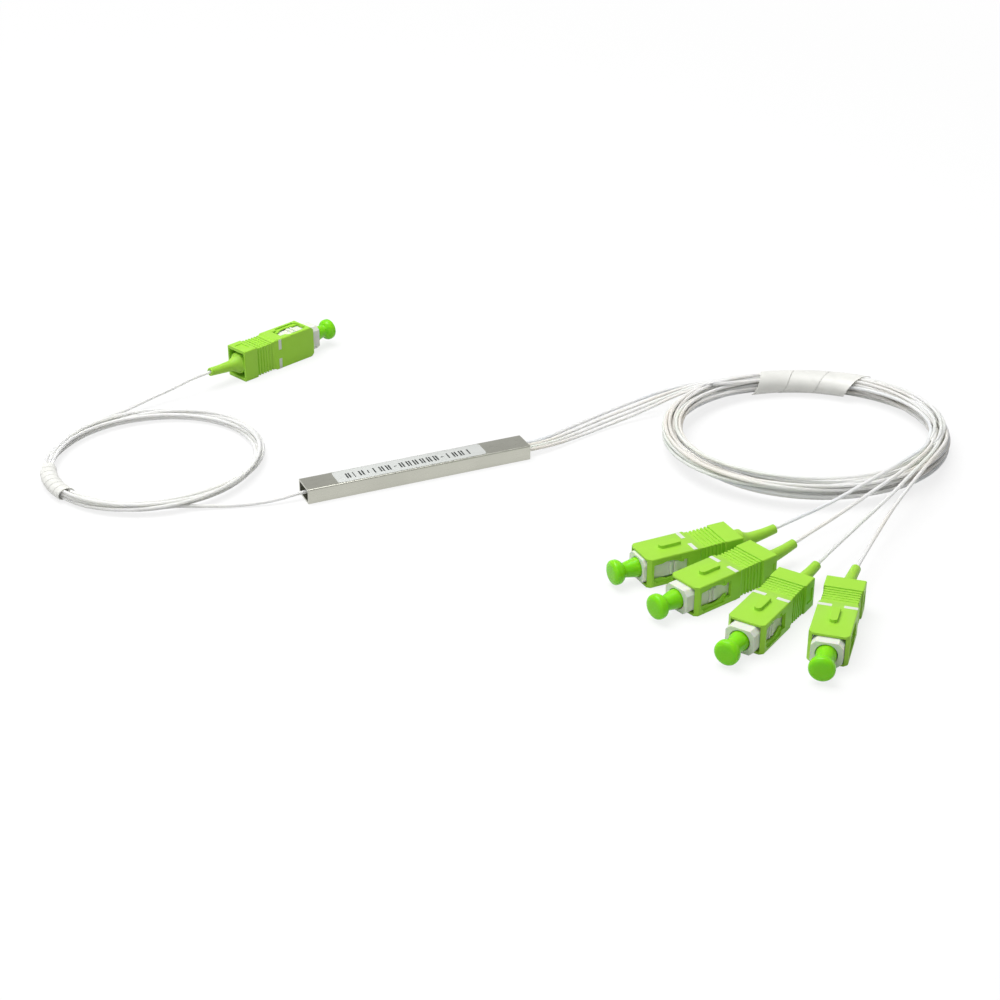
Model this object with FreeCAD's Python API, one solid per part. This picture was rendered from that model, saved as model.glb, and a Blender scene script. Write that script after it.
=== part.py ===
# Steel-tube fibre-optic splitter: one optical input, four outputs.
#
# A slim steel tube holds the splitter chip between two glass fibre blocks. One buffered fibre
# lead enters the tube at its left end and four leave at its right end. Each lead is one metre
# long, is wound into a coil that a strip of spiral wrap holds, and ends in a push-pull plug
# with a dust cap.
#
# Frame, in millimetres: the origin is the bottom centre of the tube, +X runs along the tube
# towards the outputs, +Z is up, and everything lies on the plane z = 0.

import FreeCAD, Part
import math
import os

from FreeCAD import Placement, Rotation, Vector

# ---------------------------------------------------------------- steel tube and its label
TUBE_LENGTH = 60.0
TUBE_WIDTH = 7.0
TUBE_HEIGHT = 4.0
TUBE_WALL = 0.5
TUBE_EDGE_RADIUS = 0.4
SEAL_LENGTH = 5.0
SEAL_RECESS = 1.5
LABEL_LENGTH = 40.0
LABEL_WIDTH = 6.0
LABEL_THICKNESS = 0.08
LABEL_SHIFT = -1.8
LABEL_CORNER_RADIUS = 1.0

# ---------------------------------------------------------------- splitter chip and fibres
CHIP_LENGTH = 12.0
CHIP_WIDTH = 2.4
CHIP_HEIGHT = 1.0
LID_HEIGHT = 0.8
POLISH_ANGLE = 8.0
BLOCK_LENGTH = 5.0
BLOCK_LID_LENGTH = 3.2
BED_WIDTH = 4.0
BED_MARGIN = 1.5
BARE_FIBRE_DIAMETER = 0.25
RIBBON_LENGTH = 1.0
OUTPUT_COUNT = 4

# ---------------------------------------------------------------- buffered leads
LEAD_DIAMETER = 0.9
LEAD_PITCH = 1.2
LEAD_CLEARANCE = 0.05
LEAD_TAIL = 0.5
ARC_REACH = 0.45
FLOOR_GAP = 0.05

# ---------------------------------------------------------------- push-pull plug
SLEEVE_LENGTH = 25.0
SLEEVE_WIDTH = 9.0
SLEEVE_HEIGHT = 7.4
FRAME_WIDTH = 7.0
FRAME_HEIGHT = 6.0
FRAME_REAR = 8.0
FRAME_NOSE = 2.1
FRAME_CHAMFER = 1.1
FRAME_CLEARANCE = 0.1
SLEEVE_NOSE_CHAMFER = 0.9
SLEEVE_EDGE_CHAMFER = 0.2

# Window in each narrow side, as (x, half height) from its rear to its front: the opening
# through the wall and the shallow recess round it. A slot crosses the opening at its rear.
WINDOW_OPENING = [(14.4, 1.1), (16.1, 1.1), (17.1, 1.7), (18.4, 2.1), (20.0, 2.15), (21.2, 1.8),
                  (23.5, 1.7)]
WINDOW_RECESS = [(14.4, 1.9), (16.2, 1.9), (16.3, 2.8), (22.6, 2.8), (23.5, 1.9)]
WINDOW_RECESS_DEPTH = 0.45
WINDOW_SLOT_FRONT = 15.4
WINDOW_SLOT_HEIGHT = 3.8

LUG_FRONT = 20.5
LUG_LENGTH = 2.0
LUG_HEIGHT = 3.2
LUG_DEPTH = 0.45
LUG_GROOVE_WIDTH = 0.5
LUG_GROOVE_SETBACK = 1.1

KEY_REAR = 14.6
KEY_FRONT = 20.0
KEY_WIDTH = 1.8
KEY_HEIGHT = 0.8

COLLAR_LENGTH = 4.3
WAIST_FRONT = 11.4
WAIST_DEPTH = 0.35
WAIST_RAMP = 0.5
# Depths of the waist in the wide faces, at its rear and at its front.
WAIST_SINK_REAR = 0.08
WAIST_SINK_FRONT = 0.28
GRIP_COUNT = 6
GRIP_START = 4.6
GRIP_PITCH = 1.0
GRIP_WIDTH = 0.45
GRIP_DEPTH = 0.22
GRIP_FLOOR = 6.6
THUMB_REAR = 0.8
THUMB_LENGTH = 2.6
THUMB_WIDTH = 3.4
THUMB_DEPTH = 0.25

NOSE_BORE_DIAMETER = 4.9
NOSE_BORE_DEPTH = 7.8
SHOULDER_THICKNESS = 1.2
SHOULDER_BORE_DIAMETER = 3.2
SPRING_BORE_DIAMETER = 4.6

FERRULE_DIAMETER = 2.5
FERRULE_SETBACK = 0.45
FLANGE_DIAMETER = 4.2
FLANGE_THICKNESS = 1.5
FERRULE_STEM_DIAMETER = 2.6
FERRULE_STEM_LENGTH = 3.8
FERRULE_STEM_BORE = 1.2

SPRING_INNER_DIAMETER = 2.9
SPRING_OUTER_DIAMETER = 4.1
STOP_BARREL_DIAMETER = 3.2
STOP_BARREL_LENGTH = 5.0
STOP_COLLAR_DIAMETER = 5.6
STOP_COLLAR_LENGTH = 3.0
STOP_SPIGOT_LENGTH = 3.0
STOP_BORE_DIAMETER = 1.4
FIT_CLEARANCE = 0.03

BOOT_FLANGE_DIAMETER = 5.9
BOOT_FLANGE_REAR = -0.6
BOOT_FLANGE_LENGTH = 2.6
BOOT_NECK_DIAMETER = 2.9
BOOT_NECK_REAR = -4.2
BOOT_TAIL_DIAMETER = 2.3
BOOT_TAIL_REAR = -10.2
BOOT_BORE_DIAMETER = 1.1
BOOT_SOCKET_DEPTH = 3.0
BOOT_SHOULDER = 0.25
BOOT_CONE_STEPS = 4
LEAD_IN_BOOT = 3.7
LEAD_BEHIND_BOOT = 3.3

CAP_INSERTION = 6.2
CAP_STEM_DIAMETER = 4.4
CAP_STEM_LENGTH = 0.4
CAP_NECK_DIAMETER = 3.6
CAP_NECK_LENGTH = 3.6
CAP_HEAD_DIAMETER = 5.9
CAP_HEAD_LENGTH = 2.8
CAP_BORE_DIAMETER = 2.64
CAP_CHAMFER = 0.3
CAP_FILLET = 0.2
# Outline of the cap's head: (share of its length, share of its radius).
CAP_HEAD = [(0.0, 0.7), (0.12, 0.86), (0.24, 0.96), (0.34, 1.0), (0.72, 1.0), (0.86, 0.95),
            (0.95, 0.84), (0.985, 0.6), (1.0, 0.0)]

# Each plug: centre of its sleeve's rear end, heading of its nose, roll about its own axis, how
# far its core stands forward in the sleeve, which slides on it, how far its boot's tail is bent
# up and how far that bend leans sideways. The output plugs lie on a wide face and the input
# plug stands on a narrow one.
OUTPUT_PLUGS = [
    (52.2, -68.1, -178.2, 0.0, -1.5, 1.1, 0.0),
    (54.4, -78.2, -165.6, 0.0, 0.0, 1.1, 0.0),
    (55.4, -91.1, -147.3, 0.0, 0.4, 1.1, 25.0),
    (64.2, -97.9, -131.2, 0.0, 0.0, 1.1, 50.0),
]
INPUT_PLUG = (-23.6, 74.9, 21.8, -90.0, 0.7, -0.5, 0.0)

# ---------------------------------------------------------------- coils
# Each coil: centre, the two half axes of its middle line and the heading of the longer one,
# then the half width and half height of its bundle at eight headings, 45 degrees apart.
INPUT_COIL = {
    "centre": (-58.65, 32.55), "axes": (27.15, 25.7), "heading": 20.7,
    "half_widths": (3.3, 2.8, 1.5, 1.3, 1.9, 2.0, 2.6, 2.8),
    "half_heights": (1.7, 1.5, 1.6, 1.7, 1.5, 1.6, 1.8, 1.9),
}
OUTPUT_COIL = {
    "centre": (98.5, -25.0), "axes": (35.0, 32.5), "heading": 0.0,
    "half_widths": (4.8, 4.1, 3.0, 2.7, 3.4, 5.2, 4.3, 3.8),
    "half_heights": (3.3, 2.7, 3.0, 4.2, 4.6, 4.5, 4.0, 3.9),
}
COIL_SECTIONS = 16
SECTION_POINTS = 8
WRAP_STEPS = 4
WRAP_THICKNESS = 0.3
WRAP_CLEARANCE = 0.12
INPUT_WRAP_HEADINGS = (168.0, 204.0)
OUTPUT_WRAP_HEADINGS = (34.0, 84.0)

# ---------------------------------------------------------------- free routes of the leads
INPUT_NEAR_ROUTE = [
    (-38.0, 0.1, 1.0), (-46.5, 2.2, 0.55), (-54.0, 4.6, 0.9), (-61.0, 6.5, 1.6),
]
INPUT_FAR_ROUTE = [
    (-77.0, 50.5, 2.0), (-70.5, 56.2, 2.6), (-64.5, 60.4, 2.3), (-58.0, 64.0, 1.6),
    (-51.3, 66.9, 2.2), (-44.0, 68.6, 3.9),
]
OUTPUT_NEAR_ROUTES = [
    [(37.6, 3.5, 1.4), (47.3, 7.9, 0.9), (58.0, 11.6, 0.9), (69.0, 13.6, 1.8), (79.0, 14.3, 3.0),
     (88.0, 12.7, 4.2), (97.0, 9.4, 4.6)],
    [(37.6, 1.9, 1.4), (47.0, 5.7, 0.9), (57.8, 9.4, 0.9), (68.8, 11.3, 1.8), (79.0, 11.9, 3.4),
     (88.0, 10.6, 4.9), (96.6, 8.2, 5.0)],
    [(37.6, 0.6, 1.4), (46.6, 3.7, 0.9), (57.4, 7.2, 0.9), (68.4, 9.0, 1.9), (79.0, 9.4, 4.0),
     (88.0, 8.4, 5.7), (96.2, 6.9, 5.3)],
    [(37.6, -0.7, 1.4), (46.0, 1.9, 0.9), (57.0, 5.0, 0.9), (67.8, 6.7, 2.0), (78.6, 7.0, 4.9),
     (87.6, 6.2, 6.3), (95.6, 5.6, 5.6)],
]
OUTPUT_FAR_ROUTES = [
    [(123.3, -44.4, 6.3), (117.3, -51.6, 8.2), (107.6, -56.3, 8.5), (97.4, -60.4, 8.4),
     (87.4, -63.8, 7.9), (79.8, -65.6, 6.8)],
    [(124.5, -45.3, 6.9), (116.7, -53.5, 8.3), (106.1, -59.8, 8.5), (94.6, -65.2, 8.3),
     (85.6, -68.6, 7.4), (77.2, -71.3, 6.1)],
    [(125.7, -46.4, 6.9), (116.4, -55.5, 8.4), (106.2, -62.2, 8.5), (98.0, -67.6, 8.2),
     (90.6, -71.6, 7.3), (83.2, -75.3, 6.3), (75.4, -79.6, 5.6)],
    [(126.9, -47.2, 6.2), (117.2, -56.2, 8.3), (108.0, -62.9, 8.4), (100.2, -68.6, 8.1),
     (93.4, -73.3, 7.3), (86.8, -78.4, 6.3)],
]


# ================================================================ plain helpers
PARALLEL = 0.99


def box(x0, x1, y0, y1, z0, z1):
    """Block between two corners."""
    return Part.makeBox(x1 - x0, y1 - y0, z1 - z0, Vector(x0, y0, z0))


def centred_box(x0, x1, width, height):
    """Block along X, centred on the X axis."""
    return box(x0, x1, -width / 2, width / 2, -height / 2, height / 2)


def rounded_bar(length, width, height, radius, base_z=0.0):
    """Bar along X, centred on X = Y = 0, with its four long edges rounded."""
    bar = box(-length / 2, length / 2, -width / 2, width / 2, base_z, base_z + height)
    long_edges = [e for e in bar.Edges if abs(e.tangentAt(e.FirstParameter).x) > PARALLEL]
    return bar.makeFillet(radius, long_edges)


def turned(profile):
    """Solid turned about the X axis from (x, radius) points, given in order round the section."""
    points = [Vector(x, 0, r) for x, r in profile]
    face = Part.Face(Part.makePolygon(points + points[:1]))
    return face.revolve(Vector(0, 0, 0), Vector(1, 0, 0), 360)


def rod(x0, x1, diameter):
    """Round bar on the X axis."""
    return Part.makeCylinder(diameter / 2, x1 - x0, Vector(x0, 0, 0), Vector(1, 0, 0))


def prism_xz(outline, width):
    """Solid with an (x, z) outline, centred on Y = 0."""
    points = [Vector(x, -width / 2, z) for x, z in outline]
    face = Part.Face(Part.makePolygon(points + points[:1]))
    return face.extrude(Vector(0, width, 0))


def upright_prism(outline, reach):
    """Solid with an (x, y) outline that reaches the same way above and below z = 0."""
    points = [Vector(x, y, -reach) for x, y in outline]
    face = Part.Face(Part.makePolygon(points + points[:1]))
    return face.extrude(Vector(0, 0, 2 * reach))


def octagon_bar(x0, x1, width, height, chamfer):
    """Bar along X with its four long edges cut off at 45 degrees."""
    w, h, c = width / 2, height / 2, chamfer
    corners = [(w, h - c), (w - c, h), (c - w, h), (-w, h - c),
               (-w, c - h), (c - w, -h), (w - c, -h), (w, c - h)]
    points = [Vector(x0, y, z) for y, z in corners]
    face = Part.Face(Part.makePolygon(points + points[:1]))
    return face.extrude(Vector(x1 - x0, 0, 0))


def save(name, shape):
    """Write one sub-part."""
    if not shape.isValid():
        print("NOT VALID", name)
    shape.exportStep("parts/" + name + ".step")
    print("%-28s solids %d volume %.2f" % (name, len(shape.Solids), shape.Volume))


# ================================================================ module
FIBRE_HEIGHT = TUBE_HEIGHT / 2
BED_TOP = FIBRE_HEIGHT - CHIP_HEIGHT
CAVITY_WIDTH = TUBE_WIDTH - 2 * TUBE_WALL
CAVITY_HEIGHT = TUBE_HEIGHT - 2 * TUBE_WALL
SEAL_OUTER = TUBE_LENGTH / 2 - SEAL_RECESS
SEAL_INNER = SEAL_OUTER - SEAL_LENGTH
LEAD_INNER_END = SEAL_INNER - LEAD_TAIL


def steel_tube():
    """Thin-walled steel tube, open at both ends."""
    outer = rounded_bar(TUBE_LENGTH, TUBE_WIDTH, TUBE_HEIGHT, TUBE_EDGE_RADIUS)
    inner = centred_box(-TUBE_LENGTH, TUBE_LENGTH, CAVITY_WIDTH, CAVITY_HEIGHT)
    inner.translate(Vector(0, 0, TUBE_HEIGHT / 2))
    return outer.cut(inner)


def label():
    """Thin label with rounded corners on the tube's top face."""
    sticker = box(LABEL_SHIFT - LABEL_LENGTH / 2, LABEL_SHIFT + LABEL_LENGTH / 2,
                  -LABEL_WIDTH / 2, LABEL_WIDTH / 2, TUBE_HEIGHT, TUBE_HEIGHT + LABEL_THICKNESS)
    upright = [e for e in sticker.Edges if abs(e.tangentAt(e.FirstParameter).z) > PARALLEL]
    return sticker.makeFillet(LABEL_CORNER_RADIUS, upright)


def lead_offsets():
    """Sideways places of the output leads in the tube's mouth, first output first."""
    middle = (OUTPUT_COUNT - 1) / 2
    return [(middle - i) * LEAD_PITCH for i in range(OUTPUT_COUNT)]


def end_seal(side, offsets):
    """Plug of sealant in a tube mouth, with a hole for each lead; side is -1 or 1."""
    seal = centred_box(SEAL_INNER, SEAL_OUTER, CAVITY_WIDTH, CAVITY_HEIGHT)
    for y in offsets:
        hole = rod(0, TUBE_LENGTH, LEAD_DIAMETER + 2 * LEAD_CLEARANCE)
        hole.translate(Vector(0, y, 0))
        seal = seal.cut(hole)
    if side < 0:
        seal = seal.mirror(Vector(0, 0, 0), Vector(1, 0, 0))
    seal.translate(Vector(0, 0, TUBE_HEIGHT / 2))
    return seal


def slant(x, z):
    """Place of a polished face at height z, where x is its place at the fibres' height."""
    return x + (z - FIBRE_HEIGHT) * math.tan(math.radians(POLISH_ANGLE))


def chip_slab(z0, z1):
    """Slab of the chip between two heights, with both ends polished at the same slant."""
    half = CHIP_LENGTH / 2
    return prism_xz([(slant(-half, z0), z0), (slant(half, z0), z0),
                     (slant(half, z1), z1), (slant(-half, z1), z1)], CHIP_WIDTH)


def fibre_block(side):
    """Glass block that holds the fibres' ends; a shelf carries them up to its lid."""
    face = side * CHIP_LENGTH / 2
    rear = side * (CHIP_LENGTH / 2 + BLOCK_LENGTH)
    lid_rear = side * (CHIP_LENGTH / 2 + BLOCK_LID_LENGTH)
    shelf = FIBRE_HEIGHT - BARE_FIBRE_DIAMETER / 2
    top = FIBRE_HEIGHT + LID_HEIGHT
    return prism_xz([(slant(face, BED_TOP), BED_TOP), (rear, BED_TOP), (rear, shelf),
                     (lid_rear, shelf), (lid_rear, top), (slant(face, top), top)], CHIP_WIDTH)


def silicone_bed():
    """Soft bed on the tube's floor that carries the chip and both fibre blocks."""
    half = CHIP_LENGTH / 2 + BLOCK_LENGTH + BED_MARGIN
    return box(-half, half, -BED_WIDTH / 2, BED_WIDTH / 2, TUBE_WALL, BED_TOP)


def bare_fibre(points):
    """Thin round fibre along straight runs, with a ball at each bend."""
    radius = BARE_FIBRE_DIAMETER / 2
    pieces = []
    for a, b in zip(points, points[1:]):
        pieces.append(Part.makeCylinder(radius, (b - a).Length, a, b - a))
    for p in points[1:-1]:
        pieces.append(Part.makeSphere(radius, p))
    return pieces[0] if len(pieces) == 1 else pieces[0].multiFuse(pieces[1:])


def input_fibre():
    """Bare fibre from the input lead to its block."""
    start = -(CHIP_LENGTH / 2 + BLOCK_LID_LENGTH)
    return bare_fibre([Vector(-LEAD_INNER_END, 0, FIBRE_HEIGHT), Vector(start, 0, FIBRE_HEIGHT)])


def output_ribbon():
    """Four bare fibres, side by side at the block, that fan out to the leads."""
    start = CHIP_LENGTH / 2 + BLOCK_LID_LENGTH
    ribbon_end = CHIP_LENGTH / 2 + BLOCK_LENGTH + RIBBON_LENGTH
    spread = LEAD_INNER_END - 2 * BARE_FIBRE_DIAMETER
    fibres = []
    for y in lead_offsets():
        near = y / LEAD_PITCH * BARE_FIBRE_DIAMETER
        fibres.append(bare_fibre([Vector(start, near, FIBRE_HEIGHT),
                                  Vector(ribbon_end, near, FIBRE_HEIGHT),
                                  Vector(spread, y, FIBRE_HEIGHT),
                                  Vector(LEAD_INNER_END, y, FIBRE_HEIGHT)]))
    width = (OUTPUT_COUNT - 1) * BARE_FIBRE_DIAMETER
    web = box(start, ribbon_end, -width / 2, width / 2,
              FIBRE_HEIGHT - BARE_FIBRE_DIAMETER / 4, FIBRE_HEIGHT + BARE_FIBRE_DIAMETER / 4)
    return web.multiFuse(fibres)


def make_module():
    """Write the steel module's pieces."""
    save("steel_tube", steel_tube())
    save("label", label())
    save("input_end_seal", end_seal(-1, [0.0]))
    save("output_end_seal", end_seal(1, lead_offsets()))
    save("silicone_bed", silicone_bed())
    save("splitter_chip", chip_slab(BED_TOP, FIBRE_HEIGHT))
    save("chip_lid", chip_slab(FIBRE_HEIGHT, FIBRE_HEIGHT + LID_HEIGHT))
    save("input_fibre_block", fibre_block(-1))
    save("output_fibre_block", fibre_block(1))
    save("input_bare_fibre", input_fibre())
    save("output_fibre_ribbon", output_ribbon())


# ================================================================ push-pull plug
# Each piece is built along +X: the sleeve's rear end is at x = 0 and the nose points to +X.
NOSE_TIP = SLEEVE_LENGTH + FRAME_NOSE
SHOULDER_FRONT = NOSE_TIP - NOSE_BORE_DEPTH
SHOULDER_REAR = SHOULDER_FRONT - SHOULDER_THICKNESS
FLANGE_REAR = SHOULDER_REAR - FLANGE_THICKNESS
STOP_FRONT = FRAME_REAR + STOP_SPIGOT_LENGTH
STOP_COLLAR_REAR = FRAME_REAR - STOP_COLLAR_LENGTH
STOP_BARREL_REAR = STOP_COLLAR_REAR - STOP_BARREL_LENGTH
BOOT_FRONT = BOOT_FLANGE_REAR + BOOT_FLANGE_LENGTH


def sleeve_body():
    """Outer block of the coupling sleeve, with a chamfered nose and soft long edges."""
    half_w = SLEEVE_WIDTH / 2
    c = SLEEVE_NOSE_CHAMFER
    plan = [(0, -half_w), (SLEEVE_LENGTH - c, -half_w), (SLEEVE_LENGTH, c - half_w),
            (SLEEVE_LENGTH, half_w - c), (SLEEVE_LENGTH - c, half_w), (0, half_w)]
    trim = octagon_bar(0, SLEEVE_LENGTH, SLEEVE_WIDTH, SLEEVE_HEIGHT, SLEEVE_EDGE_CHAMFER)
    return upright_prism(plan, SLEEVE_HEIGHT / 2).common(trim)


def mirrored(outline):
    """Closed outline from the upper half of one that is symmetric about z = 0."""
    return outline + [(x, -z) for x, z in reversed(outline)]


def window_cut():
    """Two-level window of both narrow sides, where the frame's lugs show."""
    wide = 2 * SLEEVE_WIDTH
    slot = centred_box(WINDOW_OPENING[0][0], WINDOW_SLOT_FRONT, wide, WINDOW_SLOT_HEIGHT)
    recess = prism_xz(mirrored(WINDOW_RECESS), wide)
    floor = centred_box(0, SLEEVE_LENGTH, SLEEVE_WIDTH - 2 * WINDOW_RECESS_DEPTH, SLEEVE_HEIGHT)
    return prism_xz(mirrored(WINDOW_OPENING), wide).multiFuse([slot, recess.cut(floor)])


def waist_cut():
    """Shallow waist with a ramp at each end; in the wide faces it deepens towards the front."""
    ramp_rear, ramp_front = COLLAR_LENGTH + WAIST_RAMP, WAIST_FRONT - WAIST_RAMP
    w, h = SLEEVE_WIDTH / 2, SLEEVE_HEIGHT / 2
    solids = []
    for side in (-1, 1):
        solids.append(upright_prism([(COLLAR_LENGTH, side * w), (ramp_rear, side * (w - WAIST_DEPTH)),
                                     (ramp_front, side * (w - WAIST_DEPTH)),
                                     (WAIST_FRONT, side * w)], SLEEVE_HEIGHT))
        solids.append(prism_xz([(COLLAR_LENGTH, side * h), (ramp_rear, side * (h - WAIST_SINK_REAR)),
                                (ramp_front, side * (h - WAIST_SINK_FRONT)),
                                (WAIST_FRONT, side * h)], 2 * SLEEVE_WIDTH))
    return solids


def grip_cuts():
    """Grip grooves round all four faces of the waist."""
    rings = []
    for i in range(GRIP_COUNT):
        x = GRIP_START + GRIP_PITCH * i
        outer = centred_box(x, x + GRIP_WIDTH, 2 * SLEEVE_WIDTH, 2 * SLEEVE_HEIGHT)
        inner = centred_box(x - 1, x + 2, SLEEVE_WIDTH - 2 * (GRIP_DEPTH + WAIST_DEPTH), GRIP_FLOOR)
        rings.append(outer.cut(inner))
    return rings


def key():
    """Raised key on one wide face, round at its front."""
    z0 = SLEEVE_HEIGHT / 2 - SLEEVE_EDGE_CHAMFER
    z1 = SLEEVE_HEIGHT / 2 + KEY_HEIGHT
    bar = box(KEY_REAR, KEY_FRONT - KEY_WIDTH / 2, -KEY_WIDTH / 2, KEY_WIDTH / 2, z0, z1)
    nose = Part.makeCylinder(KEY_WIDTH / 2, z1 - z0, Vector(KEY_FRONT - KEY_WIDTH / 2, 0, z0))
    return bar.fuse(nose).removeSplitter()


def coupling_sleeve():
    """Outer sleeve that slides on the plug frame and releases it from an adapter."""
    body = sleeve_body().fuse(key())
    cavity = centred_box(-1, SLEEVE_LENGTH + 1, FRAME_WIDTH + 2 * FRAME_CLEARANCE,
                         FRAME_HEIGHT + 2 * FRAME_CLEARANCE)
    cuts = [cavity, window_cut()] + waist_cut() + grip_cuts()
    for side in (-1, 1):
        y0 = side * SLEEVE_WIDTH / 2
        thumb = box(THUMB_REAR, THUMB_REAR + THUMB_LENGTH, min(y0, y0 - side * THUMB_DEPTH),
                    max(y0, y0 - side * THUMB_DEPTH), -THUMB_WIDTH / 2, THUMB_WIDTH / 2)
        cuts.append(thumb)
    return body.cut(Part.makeCompound(cuts))


def plug_frame():
    """White inner frame: octagonal nose, stepped bore and a lug on each narrow side."""
    body = octagon_bar(FRAME_REAR, NOSE_TIP, FRAME_WIDTH, FRAME_HEIGHT, FRAME_CHAMFER)
    lug_rear = LUG_FRONT - LUG_LENGTH
    lugs = centred_box(lug_rear, LUG_FRONT, FRAME_WIDTH + 2 * LUG_DEPTH, LUG_HEIGHT)
    groove_x = LUG_FRONT - LUG_GROOVE_SETBACK
    groove = centred_box(groove_x, groove_x + LUG_GROOVE_WIDTH, 2 * FRAME_WIDTH, 2 * LUG_HEIGHT)
    groove = groove.cut(centred_box(groove_x - 1, groove_x + 2, FRAME_WIDTH, 3 * LUG_HEIGHT))
    body = body.fuse(lugs.cut(groove))
    bores = [rod(SHOULDER_FRONT, NOSE_TIP + 1, NOSE_BORE_DIAMETER),
             rod(SHOULDER_REAR - 1, SHOULDER_FRONT + 1, SHOULDER_BORE_DIAMETER),
             rod(FRAME_REAR - 1, SHOULDER_REAR, SPRING_BORE_DIAMETER)]
    return body.cut(bores[0].multiFuse(bores[1:]))


def ferrule():
    """Ceramic ferrule with its flange and rear stem; the tip is polished at an angle."""
    tip = NOSE_TIP - FERRULE_SETBACK
    r0, r1, r2, r3 = (FERRULE_STEM_BORE / 2, FERRULE_STEM_DIAMETER / 2, FLANGE_DIAMETER / 2,
                      FERRULE_DIAMETER / 2)
    rear = FLANGE_REAR - FERRULE_STEM_LENGTH
    body = turned([(rear, r0), (rear, r1), (FLANGE_REAR, r1), (FLANGE_REAR, r2),
                   (SHOULDER_REAR, r2), (SHOULDER_REAR, r3), (tip, r3), (tip, 0),
                   (FLANGE_REAR, 0), (FLANGE_REAR, r0)])
    wedge = box(0, FERRULE_DIAMETER, -FERRULE_DIAMETER, FERRULE_DIAMETER, -FERRULE_DIAMETER,
                FERRULE_DIAMETER)
    wedge.rotate(Vector(0, 0, 0), Vector(0, 1, 0), POLISH_ANGLE)
    wedge.translate(Vector(tip - r3 * math.tan(math.radians(POLISH_ANGLE)), 0, 0))
    return body.cut(wedge)


def spring():
    """Room that the coil spring behind the ferrule's flange fills."""
    outer = rod(STOP_FRONT, FLANGE_REAR, SPRING_OUTER_DIAMETER)
    return outer.cut(rod(STOP_FRONT - 1, FLANGE_REAR + 1, SPRING_INNER_DIAMETER))


def stop_ring():
    """Stop ring: spigot in the frame's rear, collar behind it and a barrel for the boot."""
    bore = STOP_BORE_DIAMETER / 2
    spigot = SPRING_BORE_DIAMETER / 2 - FIT_CLEARANCE
    collar = STOP_COLLAR_DIAMETER / 2
    barrel = STOP_BARREL_DIAMETER / 2
    return turned([(STOP_BARREL_REAR, bore), (STOP_BARREL_REAR, barrel), (STOP_COLLAR_REAR, barrel),
                   (STOP_COLLAR_REAR, collar), (FRAME_REAR, collar), (FRAME_REAR, spigot),
                   (STOP_FRONT, spigot), (STOP_FRONT, bore)])


def boot_axis(x, lift):
    """Rise of the boot's axis at a station: it bends as a parabola behind its flange."""
    behind = max(0.0, (BOOT_FLANGE_REAR - x) / (BOOT_FLANGE_REAR - BOOT_TAIL_REAR))
    return lift * behind ** 2


def boot_slope(x, lift):
    """Upward slope of the boot's axis at a station, towards its tail."""
    span = BOOT_FLANGE_REAR - BOOT_TAIL_REAR
    return 2 * lift * max(0.0, BOOT_FLANGE_REAR - x) / span ** 2


def bent_loft(stations, lift):
    """Round tube of the given (station, radius) sections, square to the boot's bent axis."""
    rings = []
    for x, radius in stations:
        centre = Vector(x, 0, boot_axis(x, lift))
        rings.append(Part.Wire(Part.makeCircle(radius, centre, Vector(-1, 0, boot_slope(x, lift)))))
    return Part.makeLoft(rings, True, False)


def boot(lift):
    """Strain-relief boot: base flange, hollow cone and a slim tail that bends slightly."""
    flange = BOOT_FLANGE_DIAMETER / 2
    neck = BOOT_NECK_DIAMETER / 2
    tail = BOOT_TAIL_DIAMETER / 2
    base = rod(BOOT_FLANGE_REAR, BOOT_FRONT, BOOT_FLANGE_DIAMETER)
    reach = BOOT_FLANGE_REAR - BOOT_NECK_REAR
    cone = []
    for i in range(BOOT_CONE_STEPS + 1):
        t = i / BOOT_CONE_STEPS
        radius = neck + (flange - BOOT_SHOULDER - neck) * (1 - t) ** 2
        cone.append((BOOT_FLANGE_REAR - reach * t, radius))
    cone += [((BOOT_NECK_REAR + BOOT_TAIL_REAR) / 2, (neck + tail) / 2), (BOOT_TAIL_REAR, tail)]
    body = base.fuse(bent_loft(cone, lift))
    bore_r = BOOT_BORE_DIAMETER / 2
    bore = bent_loft([(BOOT_FLANGE_REAR, bore_r), ((BOOT_FLANGE_REAR + BOOT_TAIL_REAR) / 2, bore_r),
                      (BOOT_TAIL_REAR - 1, bore_r)], lift)
    socket = rod(BOOT_FRONT - BOOT_SOCKET_DEPTH, BOOT_FRONT + 1,
                 STOP_BARREL_DIAMETER + 2 * FIT_CLEARANCE)
    return body.cut(bore).cut(socket)


def dust_cap():
    """Soft cap over the ferrule: a stem in the nose bore, a tapered neck and a round head."""
    stem_end = NOSE_TIP + CAP_STEM_LENGTH
    inner_end = NOSE_TIP - CAP_INSERTION
    head_start = stem_end + CAP_NECK_LENGTH
    bore_end = NOSE_TIP + FERRULE_SETBACK
    stem, neck, head = CAP_STEM_DIAMETER / 2, CAP_NECK_DIAMETER / 2, CAP_HEAD_DIAMETER / 2
    bore = CAP_BORE_DIAMETER / 2
    profile = [(inner_end, bore), (inner_end, stem - CAP_CHAMFER), (inner_end + CAP_CHAMFER, stem),
               (stem_end, stem), (head_start - CAP_FILLET, neck)]
    profile += [(head_start + CAP_HEAD_LENGTH * t, head * r) for t, r in CAP_HEAD]
    profile += [(bore_end, 0), (bore_end, bore)]
    return turned(profile)


def plug_place(plug, piece):
    """Placement of a plug's piece; the boot leans where the others roll."""
    x, y, heading, roll, forward, _, lean = plug
    height = SLEEVE_HEIGHT / 2 if roll == 0 else SLEEVE_WIDTH / 2
    turn = Rotation(Vector(0, 0, 1), heading)
    along = turn.multVec(Vector(0 if piece == "coupling_sleeve" else forward, 0, 0))
    turn = turn.multiply(Rotation(Vector(1, 0, 0), -lean if piece == "boot" else roll))
    return Placement(Vector(x, y, height) + along, turn)


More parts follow.
